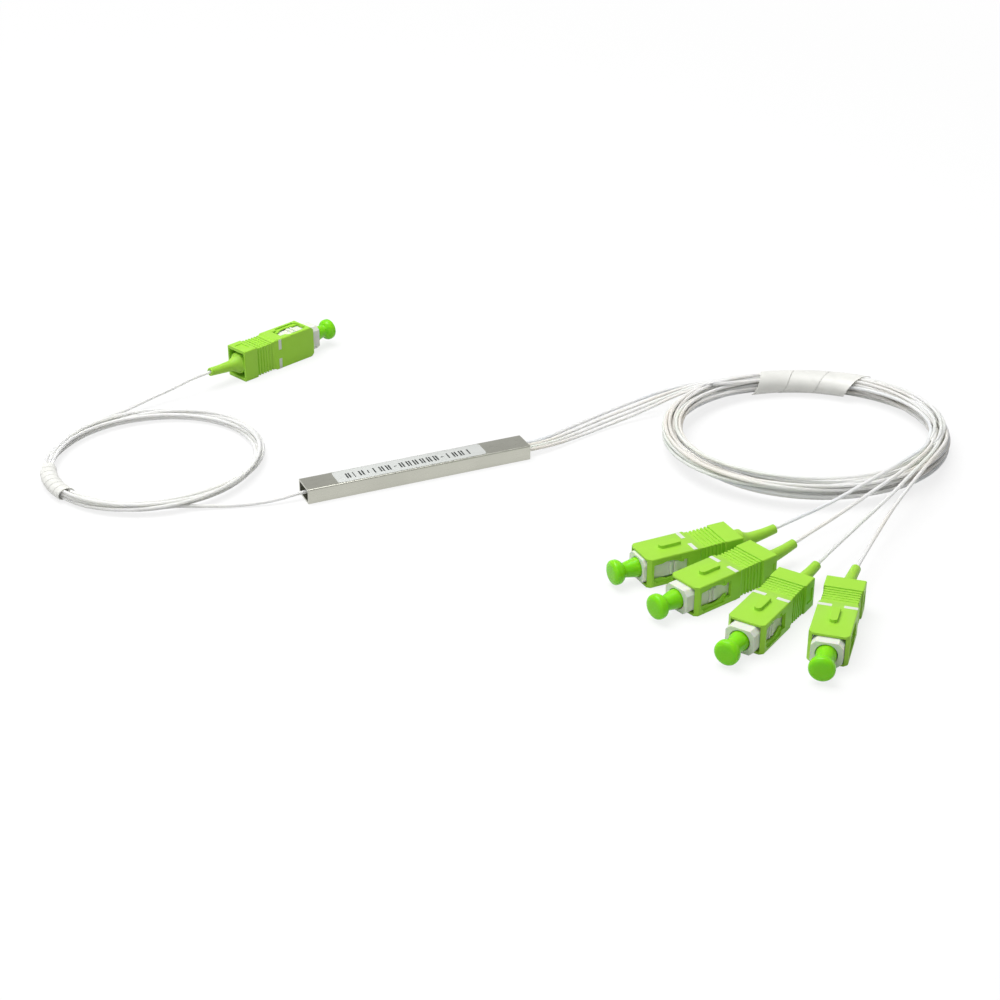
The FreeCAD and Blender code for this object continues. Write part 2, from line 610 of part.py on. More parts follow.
def make_plug(name, plug):
    """Write one plug's pieces."""
    lift = plug[5]
    pieces = {"coupling_sleeve": coupling_sleeve(), "plug_frame": plug_frame(),
              "ferrule": ferrule(), "spring": spring(), "stop_ring": stop_ring(),
              "boot": boot(lift), "dust_cap": dust_cap()}
    for piece, shape in pieces.items():
        shape.Placement = plug_place(plug, piece)
        save(name + "_" + piece, shape)


# ================================================================ leads
def lead(points):
    """Round lead along straight runs joined by arcs, each as large as its two runs allow."""
    radii = []
    edges = []
    start = points[0]
    for before, corner, after in zip(points, points[1:], points[2:]):
        into = (corner - before).normalize()
        out = (after - corner).normalize()
        half_turn = into.getAngle(out) / 2
        reach = ARC_REACH * min((corner - before).Length, (after - corner).Length)
        radii.append(reach / math.tan(half_turn))
        arc_start = corner - into * reach
        arc_end = corner + out * reach
        inward = (out - into).normalize()
        depth = radii[-1] * (1 / math.cos(half_turn) - 1)
        edges.append(Part.LineSegment(start, arc_start).toShape())
        edges.append(Part.Arc(arc_start, corner + inward * depth, arc_end).toShape())
        start = arc_end
    edges.append(Part.LineSegment(start, points[-1]).toShape())
    path = Part.Wire(edges)
    section = Part.Wire(Part.makeCircle(LEAD_DIAMETER / 2, points[0], points[1] - points[0]))
    tube = path.makePipeShell([section], True, False)
    expected = path.Length * math.pi * LEAD_DIAMETER ** 2 / 4
    print("   arc radii", " ".join("%.0f" % r for r in radii),
          " length %.1f" % path.Length, " volume/section*length %.4f" % (tube.Volume / expected))
    return tube


def boot_entry(plug):
    """Two points of a lead at its boot: clear of the tail, and inside its bore."""
    place = plug_place(plug, "boot")
    lift = plug[5]
    inside = BOOT_TAIL_REAR + LEAD_IN_BOOT
    rise = boot_axis(BOOT_TAIL_REAR, lift) + boot_slope(BOOT_TAIL_REAR, lift) * LEAD_BEHIND_BOOT
    return [place.multVec(Vector(BOOT_TAIL_REAR - LEAD_BEHIND_BOOT, 0, rise)),
            place.multVec(Vector(inside, 0, boot_axis(inside, lift)))]


def tube_exit(side, y):
    """Two points of a lead at the tube: its inner end and the mouth."""
    return [Vector(side * LEAD_INNER_END, y, FIBRE_HEIGHT),
            Vector(side * TUBE_LENGTH / 2, y, FIBRE_HEIGHT)]


def around(values, heading):
    """Smooth closed reading of evenly spaced values at a heading in degrees."""
    n = len(values)
    total = sum(values) / n
    for k in range(1, n // 2 + 1):
        weight = 1.0 if 2 * k == n else 2.0
        for i, v in enumerate(values):
            total += weight / n * v * math.cos(k * (math.radians(heading) - 2 * math.pi * i / n))
    return total


def coil_section(coil, heading, grow):
    """Closed oval section of a coil's bundle at a heading, grown outwards by a margin."""
    a, b = coil["axes"]
    t = math.radians(heading - coil["heading"])
    radius = a * b / math.hypot(b * math.cos(t), a * math.sin(t))
    half_w = around(coil["half_widths"], heading)
    half_h = around(coil["half_heights"], heading)
    out = Vector(math.cos(math.radians(heading)), math.sin(math.radians(heading)), 0)
    centre = Vector(coil["centre"][0], coil["centre"][1], FLOOR_GAP + WRAP_CLEARANCE + WRAP_THICKNESS
                    + half_h) + out * radius
    points = []
    for i in range(SECTION_POINTS):
        s = 2 * math.pi * i / SECTION_POINTS
        points.append(centre + out * (half_w + grow) * math.cos(s)
                      + Vector(0, 0, (half_h + grow) * math.sin(s)))
    curve = Part.BSplineCurve()
    curve.interpolate(Points=points, PeriodicFlag=True)
    return Part.Wire(curve.toShape())


def coil_solid(coil):
    """Outer shape of a whole coil, as one closed ring."""
    step = 360 / COIL_SECTIONS
    sections = [coil_section(coil, i * step, 0.0) for i in range(COIL_SECTIONS)]
    return Part.makeLoft(sections, True, False, True)


def coil_wrap(coil, headings):
    """Strip of wrap round a coil's bundle between two headings."""
    first, last = headings
    stations = [first + (last - first) * i / WRAP_STEPS for i in range(WRAP_STEPS + 1)]
    inner = Part.makeLoft([coil_section(coil, h, WRAP_CLEARANCE) for h in stations], True, False)
    outer = Part.makeLoft([coil_section(coil, h, WRAP_CLEARANCE + WRAP_THICKNESS)
                           for h in stations], True, False)
    return outer.cut(inner)


def vectors(route):
    """Route points as vectors."""
    return [Vector(*p) for p in route]


def make_leads():
    """Write the free stretches of the leads, the coils and their wraps."""
    save("input_lead_near", lead(tube_exit(-1, 0.0) + vectors(INPUT_NEAR_ROUTE)))
    save("input_coil", coil_solid(INPUT_COIL))
    save("input_coil_wrap", coil_wrap(INPUT_COIL, INPUT_WRAP_HEADINGS))
    save("input_lead_far", lead(vectors(INPUT_FAR_ROUTE) + boot_entry(INPUT_PLUG)))
    for i, y in enumerate(lead_offsets()):
        near = tube_exit(1, y) + vectors(OUTPUT_NEAR_ROUTES[i])
        save("output_lead_near_%d" % (i + 1), lead(near))
    save("output_coil", coil_solid(OUTPUT_COIL))
    save("output_coil_wrap", coil_wrap(OUTPUT_COIL, OUTPUT_WRAP_HEADINGS))
    for i, plug in enumerate(OUTPUT_PLUGS):
        far = vectors(OUTPUT_FAR_ROUTES[i]) + boot_entry(plug)
        save("output_lead_far_%d" % (i + 1), lead(far))


os.makedirs("parts", exist_ok=True)
make_module()
make_plug("input", INPUT_PLUG)
for number, place in enumerate(OUTPUT_PLUGS):
    make_plug("output_%d" % (number + 1), place)
make_leads()
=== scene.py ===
"""Visual model of a one-to-four fibre splitter: a steel tube, coiled leads and capped push-pull plugs.

Lengths are millimetres in the part's own frame until they reach a mesh, a curve or the camera.
The frame is +X along the tube towards the outputs and +Z up, with everything on the plane z = 0.
"""

from __future__ import annotations

import logging
import math
from dataclasses import dataclass
from enum import Enum
from typing import Any, Iterable, Sequence

import bmesh
import bpy
import numpy as np
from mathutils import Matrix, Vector

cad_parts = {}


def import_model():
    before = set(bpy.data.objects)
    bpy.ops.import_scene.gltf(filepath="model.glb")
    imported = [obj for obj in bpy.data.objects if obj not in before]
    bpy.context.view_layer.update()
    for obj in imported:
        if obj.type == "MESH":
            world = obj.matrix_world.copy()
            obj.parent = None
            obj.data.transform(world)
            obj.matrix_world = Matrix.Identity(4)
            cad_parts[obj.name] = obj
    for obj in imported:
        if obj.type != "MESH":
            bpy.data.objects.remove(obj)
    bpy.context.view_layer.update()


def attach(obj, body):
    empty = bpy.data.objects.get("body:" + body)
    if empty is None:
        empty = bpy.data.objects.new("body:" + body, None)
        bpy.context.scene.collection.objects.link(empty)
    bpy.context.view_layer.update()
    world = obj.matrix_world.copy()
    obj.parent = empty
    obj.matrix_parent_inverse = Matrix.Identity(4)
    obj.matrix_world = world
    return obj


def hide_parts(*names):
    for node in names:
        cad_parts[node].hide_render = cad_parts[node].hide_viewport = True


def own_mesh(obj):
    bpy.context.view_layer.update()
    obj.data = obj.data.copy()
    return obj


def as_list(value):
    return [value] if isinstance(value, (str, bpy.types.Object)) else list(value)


LOG = logging.getLogger("splitter")
MM = 0.001
FULL_TURN = 360.0
MERGE_DISTANCE = 1e-6
EDGE_ANGLE = 32.0

Colour = tuple[float, float, float]
Point = tuple[float, float, float]


# ================================================================ colours and shader arithmetic
def paint(red: int, green: int, blue: int) -> Colour:
    """Turn a screen colour into the linear one that a shader takes.

    Args:
        red, green, blue: Screen values from 0 to 255.

    Returns:
        The three linear values.
    """
    screen = np.array([red, green, blue]) / 255
    linear = np.where(screen <= 0.04045, screen / 12.92, ((screen + 0.055) / 1.055) ** 2.4)
    return tuple(float(v) for v in linear)


class Signal:
    """A shader socket that takes part in Python arithmetic; each operator adds one Math node."""

    def __init__(self, graph: "NodeTree", socket: bpy.types.NodeSocket) -> None:
        """Wrap one output socket of a graph."""
        self.graph = graph
        self.socket = socket

    def _math(self, operation: str, *values: "Signal | float") -> "Signal":
        """Add a Math node that works on the given values."""
        return self.graph.add("ShaderNodeMath", {"operation": operation}, dict(enumerate(values)))

    def __add__(self, other: "Signal | float") -> "Signal":
        """Sum."""
        return self._math("ADD", self, other)

    def __radd__(self, other: float) -> "Signal":
        """Sum with a number on the left."""
        return self._math("ADD", other, self)

    def __sub__(self, other: "Signal | float") -> "Signal":
        """Difference."""
        return self._math("SUBTRACT", self, other)

    def __rsub__(self, other: float) -> "Signal":
        """Difference from a number on the left."""
        return self._math("SUBTRACT", other, self)

    def __mul__(self, other: "Signal | float") -> "Signal":
        """Product."""
        return self._math("MULTIPLY", self, other)

    def __rmul__(self, other: float) -> "Signal":
        """Product with a number on the left."""
        return self._math("MULTIPLY", other, self)

    def clamped(self) -> "Signal":
        """The value held between zero and one."""
        return self.graph.add("ShaderNodeClamp", {}, {"Value": self})


class NodeTree:
    """A shader's node tree that is filled one node at a time."""

    def __init__(self, tree: bpy.types.NodeTree) -> None:
        """Take over a tree and empty it."""
        self.tree = tree
        self.tree.nodes.clear()

    @staticmethod
    def _socket(sockets: Any, key: int | str) -> bpy.types.NodeSocket:
        """Find a socket by place, identifier or name."""
        if isinstance(key, int):
            return sockets[key]
        return next((s for s in sockets if s.identifier == key), None) or sockets[key]

    def _feed(self, socket: bpy.types.NodeSocket, value: Any) -> None:
        """Link a signal to an input socket, or set the socket to a constant."""
        if isinstance(value, Signal):
            self.tree.links.new(value.socket, socket)
        elif isinstance(value, tuple) and len(value) == 3 and socket.type == "RGBA":
            socket.default_value = (*value, 1.0)
        else:
            socket.default_value = value

    def add(self, kind: str, settings: dict[str, Any], inputs: dict[int | str, Any],
            output: int | str | None = 0) -> Signal | None:
        """Add one node.

        Args:
            kind: The node's type.
            settings: Attributes that are set first.
            inputs: Values or signals for its sockets, by place, identifier or name.
            output: Which of its outputs to return.

        Returns:
            The chosen output, or none where there is no output to choose.
        """
        node = self.tree.nodes.new(kind)
        for name, value in settings.items():
            setattr(node, name, value)
        for key, value in inputs.items():
            self._feed(self._socket(node.inputs, key), value)
        return None if output is None else Signal(self, self._socket(node.outputs, output))


class Graph(NodeTree):
    """The node tree of one material, with its Principled shader."""

    def __init__(self, name: str) -> None:
        """Start an empty tree that ends in a Principled shader."""
        self.material = bpy.data.materials.new(name)
        self.material.use_nodes = True
        super().__init__(self.material.node_tree)
        self.output = self.tree.nodes.new("ShaderNodeOutputMaterial")
        self.shader = self.tree.nodes.new("ShaderNodeBsdfPrincipled")
        self.tree.links.new(self.shader.outputs[0], self.output.inputs["Surface"])

    def place(self, stretch: Point = (1.0, 1.0, 1.0)) -> Signal:
        """Object coordinates in millimetres, times a factor along each axis."""
        raw = self.add("ShaderNodeTexCoord", {}, {}, "Object")
        return self.add("ShaderNodeMapping", {"vector_type": "TEXTURE"}, {
            "Vector": raw, "Scale": tuple(MM / factor for factor in stretch)})

    def noise(self, place: Signal, scale: float, detail: float = 3.0) -> Signal:
        """Soft noise from zero to one, with a given number of features per millimetre."""
        return self.add("ShaderNodeTexNoise", {},
                        {"Vector": place, "Scale": scale, "Detail": detail}, "Fac")

    def blend(self, factor: "Signal | float", first: Any, second: Any) -> Signal:
        """Colour between two others: the first at zero and the second at one."""
        return self.add("ShaderNodeMix", {"data_type": "RGBA"}, {
            "Factor_Float": factor, "A_Color": first, "B_Color": second}, "Result_Color")

    def bump(self, height: Signal, depth: float) -> Signal:
        """Normal that follows a height map whose full range is a depth in millimetres."""
        return self.add("ShaderNodeBump", {}, {
            "Height": height, "Distance": depth * MM, "Strength": 1.0})

    def finish(self, **inputs: Any) -> bpy.types.Material:
        """Feed the Principled shader and return the material.

        Args:
            inputs: Values or signals by socket name, with underscores for spaces.

        Returns:
            The finished material.
        """
        for name, value in inputs.items():
            self._feed(self.shader.inputs[name.replace("_", " ")], value)
        return self.material


# ================================================================ finishes
class Finish:
    """A named surface finish; its material is built once and then shared."""

    name: str

    def build(self, graph: Graph) -> bpy.types.Material:
        """Fill an empty graph with this finish."""
        raise NotImplementedError

    def material(self) -> bpy.types.Material:
        """The finish's material, under a name that no material of the frame has."""
        full_name = f"{self.name}_finish"
        return bpy.data.materials.get(full_name) or self.build(Graph(full_name))

    def dress(self, piece: bpy.types.Object) -> bpy.types.Object:
        """Put the finish on a whole piece and return the piece."""
        piece.data.materials.clear()
        piece.data.materials.append(self.material())
        return piece


@dataclass(frozen=True)
class Jacket(Finish):
    """Matt polymer jacket of a thin lead, with a faint tint that comes and goes along it."""

    name: str
    tint: Colour
    tint_share: float
    white: Colour = paint(250, 250, 246)

    def build(self, graph: Graph) -> bpy.types.Material:
        """White jacket; slow noise brings the tint in, and finer noise varies the sheen."""
        place = graph.place()
        slow = graph.noise(place, 0.045, 2.0)
        share = ((slow - 0.38) * 3.2).clamped() * self.tint_share
        colour = graph.blend(share, self.white, self.tint)
        fine = graph.noise(place, 2.2, 4.0)
        return graph.finish(
            Base_Color=colour, Roughness=0.4 + 0.12 * fine, Specular_IOR_Level=0.35,
            Normal=graph.bump(fine, 0.003), Subsurface_Weight=0.8, Subsurface_Scale=2.0 * MM,
            Subsurface_Radius=(1.0, 1.0, 0.95))


@dataclass(frozen=True)
class Moulded(Finish):
    """Moulded plastic: slow mottling in its colour and a fine satin grain in its sheen."""

    name: str
    colour: Colour
    shade: Colour
    roughness: float = 0.42
    grain: float = 0.006
    depth_of_light: float = 0.0
    gloss_coat: float = 0.0
    sheen_level: float = 0.3
    seep: float = 0.35

    def build(self, graph: Graph) -> bpy.types.Material:
        """Two tones by slow noise, roughness and bump by fine noise, light that seeps if soft."""
        place = graph.place()
        slow = graph.noise(place, 0.35, 3.0)
        fine = graph.noise(place, 5.0, 5.0)
        tone = (0.75 * slow + 0.25 * fine - 0.25).clamped()
        extra = {}
        if self.depth_of_light > 0.0:
            extra = {"Subsurface_Weight": self.seep, "Subsurface_Scale": self.depth_of_light * MM,
                     "Subsurface_Radius": (0.7, 1.0, 0.3)}
        if self.gloss_coat > 0.0:
            extra.update(Coat_Weight=self.gloss_coat, Coat_Roughness=0.22)
        return graph.finish(
            Base_Color=graph.blend(tone, self.shade, self.colour),
            Roughness=self.roughness + 0.14 * (fine - 0.5), Specular_IOR_Level=self.sheen_level,
            Normal=graph.bump(fine, self.grain), **extra)


@dataclass(frozen=True)
class BrushedSteel(Finish):
    """Drawn steel with fine scratches along its length and faint cloudy patches."""

    name: str
    bright: Colour
    dull: Colour

    def build(self, graph: Graph) -> bpy.types.Material:
        """Noise stretched along the piece gives the scratches; slow noise clouds the tone."""
        scratches = graph.noise(graph.place((0.035, 1.0, 1.0)), 9.0, 4.0)
        cloud = graph.noise(graph.place(), 0.12, 2.0)
        tone = (0.6 * scratches + 0.6 * cloud - 0.1).clamped()
        return graph.finish(
            Base_Color=graph.blend(tone, self.dull, self.bright), Metallic=1.0,
            Roughness=0.22 + 0.16 * scratches, Normal=graph.bump(scratches, 0.004))


@dataclass(frozen=True)
class Film(Finish):
    """Thin milky film that shows a little of what it covers."""

    name: str
    colour: Colour
    cover: float
    roughness: float = 0.3

    def build(self, graph: Graph) -> bpy.types.Material:
        """Alpha and tone drift with slow noise, as stretched film does."""
        place = graph.place()
        slow = graph.noise(place, 0.3, 3.0)
        fine = graph.noise(place, 1.4, 4.0)
        colour = graph.blend(slow, tuple(0.93 * c for c in self.colour), self.colour)
        return graph.finish(
            Base_Color=colour, Roughness=self.roughness + 0.12 * fine,
            Alpha=(self.cover + 0.12 * (slow - 0.5)).clamped(), Specular_IOR_Level=0.5,
            Normal=graph.bump(fine, 0.02))


SLEEVE_GREEN = Moulded("sleeve_green", paint(169, 226, 70), paint(161, 219, 60), 0.42, 0.005)
BOOT_GREEN = Moulded("boot_green", paint(170, 222, 74), paint(162, 215, 66), 0.46, 0.006, 0.5)
CAP_GREEN = Moulded("cap_green", paint(140, 228, 20), paint(132, 221, 14), 0.26, 0.003, 2.2, 0.12,
                    0.2, 0.75)
FRAME_WHITE = Moulded("frame_white", paint(236, 238, 228), paint(228, 231, 220), 0.44, 0.005, 0.4)
STRIPE_WHITE = Moulded("stripe_white", paint(228, 232, 222), paint(219, 224, 212), 0.5, 0.003)
CERAMIC = Moulded("ceramic", paint(242, 240, 232), paint(236, 233, 224), 0.16, 0.001)
SEALANT = Moulded("sealant", paint(84, 86, 74), paint(66, 68, 58), 0.38, 0.03)
SILICONE = Moulded("silicone", paint(226, 226, 220), paint(214, 215, 208), 0.4, 0.01)
GLASS_BLOCK = Moulded("ground_glass", paint(214, 224, 224), paint(200, 212, 214), 0.3, 0.004)
FIBRE_COAT = Moulded("fibre_coat", paint(230, 230, 214), paint(214, 216, 204), 0.25, 0.002)
TUBE_STEEL = BrushedSteel("tube_steel", paint(200, 200, 189), paint(182, 182, 171))
RING_METAL = BrushedSteel("ring_metal", paint(208, 206, 198), paint(188, 187, 180))
SPRING_WIRE = BrushedSteel("spring_wire", paint(190, 190, 190), paint(160, 160, 162))
LABEL_WHITE = Moulded("label_white", paint(210, 212, 209), paint(204, 207, 204), 0.3, 0.004)
LABEL_INK = Moulded("label_ink", paint(38, 42, 40), paint(52, 56, 54), 0.5, 0.003)
WRAP_FILM = Film("wrap_film", paint(253, 253, 248), 0.8)


@dataclass(frozen=True)
class Backdrop(Finish):
    """Pale floor that stays white to the camera and keeps the object's soft shadow."""

    name: str = "pale_floor"
    shadow_share: float = 0.2
    seen_albedo: float = 0.96
    lit_albedo: float = 0.55
    fade_from: float = 220.0
    fade_over: float = 380.0

    def build(self, graph: Graph) -> bpy.types.Material:
        """Diffuse floor for the light, mostly white for the camera, and all white far off."""
        rays = [graph.add("ShaderNodeLightPath", {}, {}, output)
                for output in ("Is Camera Ray", "Is Glossy Ray", "Is Transmission Ray")]
        seen = (rays[0] + rays[1] + rays[2]).clamped()
        glow = graph.add("ShaderNodeEmission", {}, {"Color": (1.0, 1.0, 1.0), "Strength": 1.0})
        grain = 0.98 + 0.02 * graph.noise(graph.place(), 0.02, 2.0)
        tone = graph.blend(seen, (self.lit_albedo,) * 3, (self.seen_albedo,) * 3)
        matt = graph.add("ShaderNodeBsdfDiffuse", {}, {"Color": graph.blend(grain, (0.0,) * 3, tone)})
        distance = graph.add("ShaderNodeVectorMath", {"operation": "LENGTH"},
                             {0: graph.place()}, "Value")
        nearby = 1.0 - ((distance - self.fade_from) * (1.0 / self.fade_over)).clamped()
        mixed = graph.add("ShaderNodeMixShader", {}, {
            0: seen * (1.0 - self.shadow_share * nearby), 1: matt, 2: glow})
        graph.tree.links.new(mixed.socket, graph.output.inputs["Surface"])
        graph.tree.nodes.remove(graph.shader)
        return graph.material


# ================================================================ meshes
class Ends(Enum):
    """What closes the two ends of a skin."""

    OPEN = "open"
    CAPPED = "capped"
    JOINED = "joined"


def placed(name: str, data: bpy.types.ID) -> bpy.types.Object:
    """Make an object of a mesh, curve, lamp or camera at the origin, and link it."""
    thing = bpy.data.objects.new(name, data)
    bpy.context.scene.collection.objects.link(thing)
    return thing


def seated(piece: bpy.types.Object, finish: Finish, body: str, slot: str,
           *nodes: str) -> bpy.types.Object:
    """Dress a piece, seat it on its body and hide the nodes that it stands for."""
    finish.dress(piece)
    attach(piece, body)
    if nodes:
        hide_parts(*nodes)
    return piece


def mesh_piece(name: str, points: np.ndarray, faces: Iterable[Sequence[int]],
               sharp: float = 40.0) -> bpy.types.Object:
    """Make a piece from points and faces, merge its doubles and turn its faces outwards.

    Args:
        name: The piece's name.
        points: Points in millimetres, one row each.
        faces: Corner numbers of each face.
        sharp: Angle in degrees past which an edge stays crisp.

    Returns:
        The piece, smooth shaded, at the origin.
    """
    mesh = bpy.data.meshes.new(name)
    mesh.from_pydata((points.reshape(-1, 3) * MM).tolist(), [], [list(f) for f in faces])
    shape = bmesh.new()
    shape.from_mesh(mesh)
    bmesh.ops.remove_doubles(shape, verts=shape.verts, dist=MERGE_DISTANCE)
    bmesh.ops.recalc_face_normals(shape, faces=shape.faces)
    crisp(shape, sharp)
    shape.to_mesh(mesh)
    shape.free()
    return placed(name, mesh)


def crisp(shape: bmesh.types.BMesh, sharp: float) -> None:
    """Shade every face smooth, and keep the edges that turn by more than an angle crisp."""
    for face in shape.faces:
        face.smooth = True
    for edge in shape.edges:
        edge.smooth = len(edge.link_faces) == 2 and edge.calc_face_angle() < math.radians(sharp)


def skin(name: str, grid: np.ndarray, ends: Ends = Ends.CAPPED,
         sharp: float = 40.0) -> bpy.types.Object:
    """Make a surface from a grid of points: rings along the rows, joined into quads.

    Args:
        name: The piece's name.
        grid: Points in millimetres, shaped (rings, points in a ring, 3).
        ends: What closes the first and last rings.
        sharp: Angle in degrees past which an edge stays crisp.

    Returns:
        The piece.
    """
    rings, count = grid.shape[:2]
    ring_numbers = np.arange(rings if ends is Ends.JOINED else rings - 1)
    row, step = (a.ravel() for a in np.meshgrid(ring_numbers, np.arange(count), indexing="ij"))
    after, beside = (row + 1) % rings, (step + 1) % count
    quads = np.stack([row * count + step, row * count + beside,
                      after * count + beside, after * count + step], axis=1).tolist()
    if ends is Ends.CAPPED:
        quads.append(list(range(count - 1, -1, -1)))
        quads.append(list(range((rings - 1) * count, rings * count)))
    return mesh_piece(name, grid, quads, sharp)


def carried(name: str, node: str, bevel: float = 0.0) -> bpy.types.Object:
    """Copy a CAD node's mesh, merge its corners, join its flat faces and round its edges.

    Args:
        name: The new piece's name.
        node: The CAD node to copy.
        bevel: Width of the edge rounding in millimetres; none at zero.

    Returns:
        The piece, which stands for the node.
    """
    shape = bmesh.new()
    shape.from_mesh(bpy.data.objects[node].data)
    bmesh.ops.remove_doubles(shape, verts=shape.verts, dist=MERGE_DISTANCE)
    bmesh.ops.dissolve_limit(shape, angle_limit=math.radians(1.0), verts=shape.verts,
                             edges=shape.edges)
    crisp(shape, EDGE_ANGLE)
    mesh = bpy.data.meshes.new(name)
    shape.to_mesh(mesh)
    shape.free()
    piece = placed(name, mesh)
    if bevel > 0.0:
        rounding = piece.modifiers.new("edges", "BEVEL")
        rounding.width = bevel * MM
        rounding.segments = 2
        rounding.limit_method = "ANGLE"
        rounding.angle_limit = math.radians(EDGE_ANGLE)
        rounding.use_clamp_overlap = False
        rounding.harden_normals = True
    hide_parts(node)
    return piece


def eased(profile: Sequence[tuple[float, float]], radius: float, steps: int = 4) -> np.ndarray:
    """Round the inner corners of a profile.

    Args:
        profile: Points of an open line in two dimensions.
        radius: How far from a corner its rounding starts, at most 45% of either run.
        steps: Points in each rounding.

    Returns:
        The points; at a corner C between S and E they are (1-t)^2 S + 2t(1-t) C + t^2 E.
    """
    line = np.array(profile, dtype=float)
    corner, before, after = line[1:-1], line[:-2] - line[1:-1], line[2:] - line[1:-1]
    t = np.linspace(0, 1, steps)[:, None]
    ends = []
    for run in (before, after):
        length = np.linalg.norm(run, axis=1, keepdims=True)
        ends.append(corner + run / length * np.minimum(radius, 0.45 * length))
    start, end = ends
    curve = ((1 - t) ** 2 * start[:, None] + 2 * t * (1 - t) * corner[:, None]
             + t ** 2 * end[:, None])
    return np.concatenate([line[:1], curve.reshape(-1, 2), line[-1:]])


def turned(profile: np.ndarray, segments: int) -> np.ndarray:
    """Turn an (x, radius) profile about the X axis: y = radius cos a, z = radius sin a."""
    angle = 2 * np.pi * np.arange(segments) / segments
    x = np.broadcast_to(profile[:, :1], (len(profile), segments))
    return np.stack([x, profile[:, 1:] * np.cos(angle), profile[:, 1:] * np.sin(angle)], axis=-1)


def blocks(corners: np.ndarray) -> tuple[np.ndarray, list[tuple[int, ...]]]:
    """Points and faces of plain blocks.

    Args:
        corners: Lowest and highest corner of each block, shaped (blocks, 2, 3).

    Returns:
        Eight points a block, and six faces a block.
    """
    pick = np.array([[0, 0, 0], [1, 0, 0], [1, 1, 0], [0, 1, 0],
                     [0, 0, 1], [1, 0, 1], [1, 1, 1], [0, 1, 1]])
    points = corners[:, pick, np.arange(3)]
    sides = np.array([[3, 2, 1, 0], [4, 5, 6, 7], [0, 1, 5, 4], [1, 2, 6, 5], [2, 3, 7, 6],
                      [3, 0, 4, 7]])
    faces = (sides[None] + 8 * np.arange(len(corners))[:, None, None]).reshape(-1, 4)
    return points.reshape(-1, 3), [tuple(f) for f in faces.tolist()]


def smooth_ramp(share: np.ndarray) -> np.ndarray:
    """Ease from zero to one with level ends: 3s^2 - 2s^3."""
    held = np.clip(share, 0.0, 1.0)
    return held * held * (3 - 2 * held)


# ================================================================ coils and leads
@dataclass(frozen=True)
class Coil:
    """A tied bundle of turns: an oval ring whose own oval section changes from heading to heading.

    The half widths and half heights are given at evenly spaced headings that start at zero.
    """

    centre: tuple[float, float]
    axes: tuple[float, float]
    tilt: float
    half_widths: tuple[float, ...]
    half_heights: tuple[float, ...]
    lift: float = 0.47

    @staticmethod
    def _around(values: tuple[float, ...], heading: np.ndarray) -> np.ndarray:
        """Read evenly spaced values at any heading by the cosine series through them."""
        count = len(values)
        angle = np.radians(heading)[..., None] - 2 * np.pi * np.arange(count) / count
        waves = np.arange(1, count // 2 + 1)
        weights = np.where(2 * waves == count, 1.0, 2.0) / count
        kernel = 1 / count + (weights * np.cos(waves * angle[..., None])).sum(axis=-1)
        return (kernel * np.array(values)).sum(axis=-1)

    def radius(self, heading: np.ndarray) -> np.ndarray:
        """Distance of the bundle's middle line from the centre: the polar form of an ellipse."""
        long_half, short_half = self.axes
        turn = np.radians(heading - self.tilt)
        return long_half * short_half / np.hypot(short_half * np.cos(turn), long_half * np.sin(turn))

    def half_width(self, heading: np.ndarray) -> np.ndarray:
        """Half width of the bundle's section."""
        return self._around(self.half_widths, heading)

    def half_height(self, heading: np.ndarray) -> np.ndarray:
        """Half height of the bundle's section."""
        return self._around(self.half_heights, heading)

    def place(self, heading: np.ndarray, offset: np.ndarray, swell: float = 1.0) -> np.ndarray:
        """Points of the part's frame for places in the bundle's section.

        Args:
            heading: Headings in degrees.
            offset: Outward and upward offsets from the section's middle, on the last axis.
            swell: Factor on the distance from the coil's centre.

        Returns:
            Points on the last axis: the centre plus (radius + outward) along the heading.
        """
        reach = swell * (self.radius(heading) + offset[..., 0])
        height = self.lift + self.half_height(heading) + offset[..., 1]
        turn = np.radians(heading)
        return np.stack([self.centre[0] + reach * np.cos(turn),
                         self.centre[1] + reach * np.sin(turn), height], axis=-1)

    def offset(self, point: Point, heading: float) -> np.ndarray:
        """Outward and upward offset of a point from the middle of the section at a heading."""
        reach = math.hypot(point[0] - self.centre[0], point[1] - self.centre[1])
        at = np.array(heading)
        return np.array([reach - float(self.radius(at)),
                         point[2] - self.lift - float(self.half_height(at))])

    def heading_of(self, point: Point) -> float:
        """Heading of a point as seen from the coil's centre."""
        return math.degrees(math.atan2(point[1] - self.centre[1], point[0] - self.centre[0]))


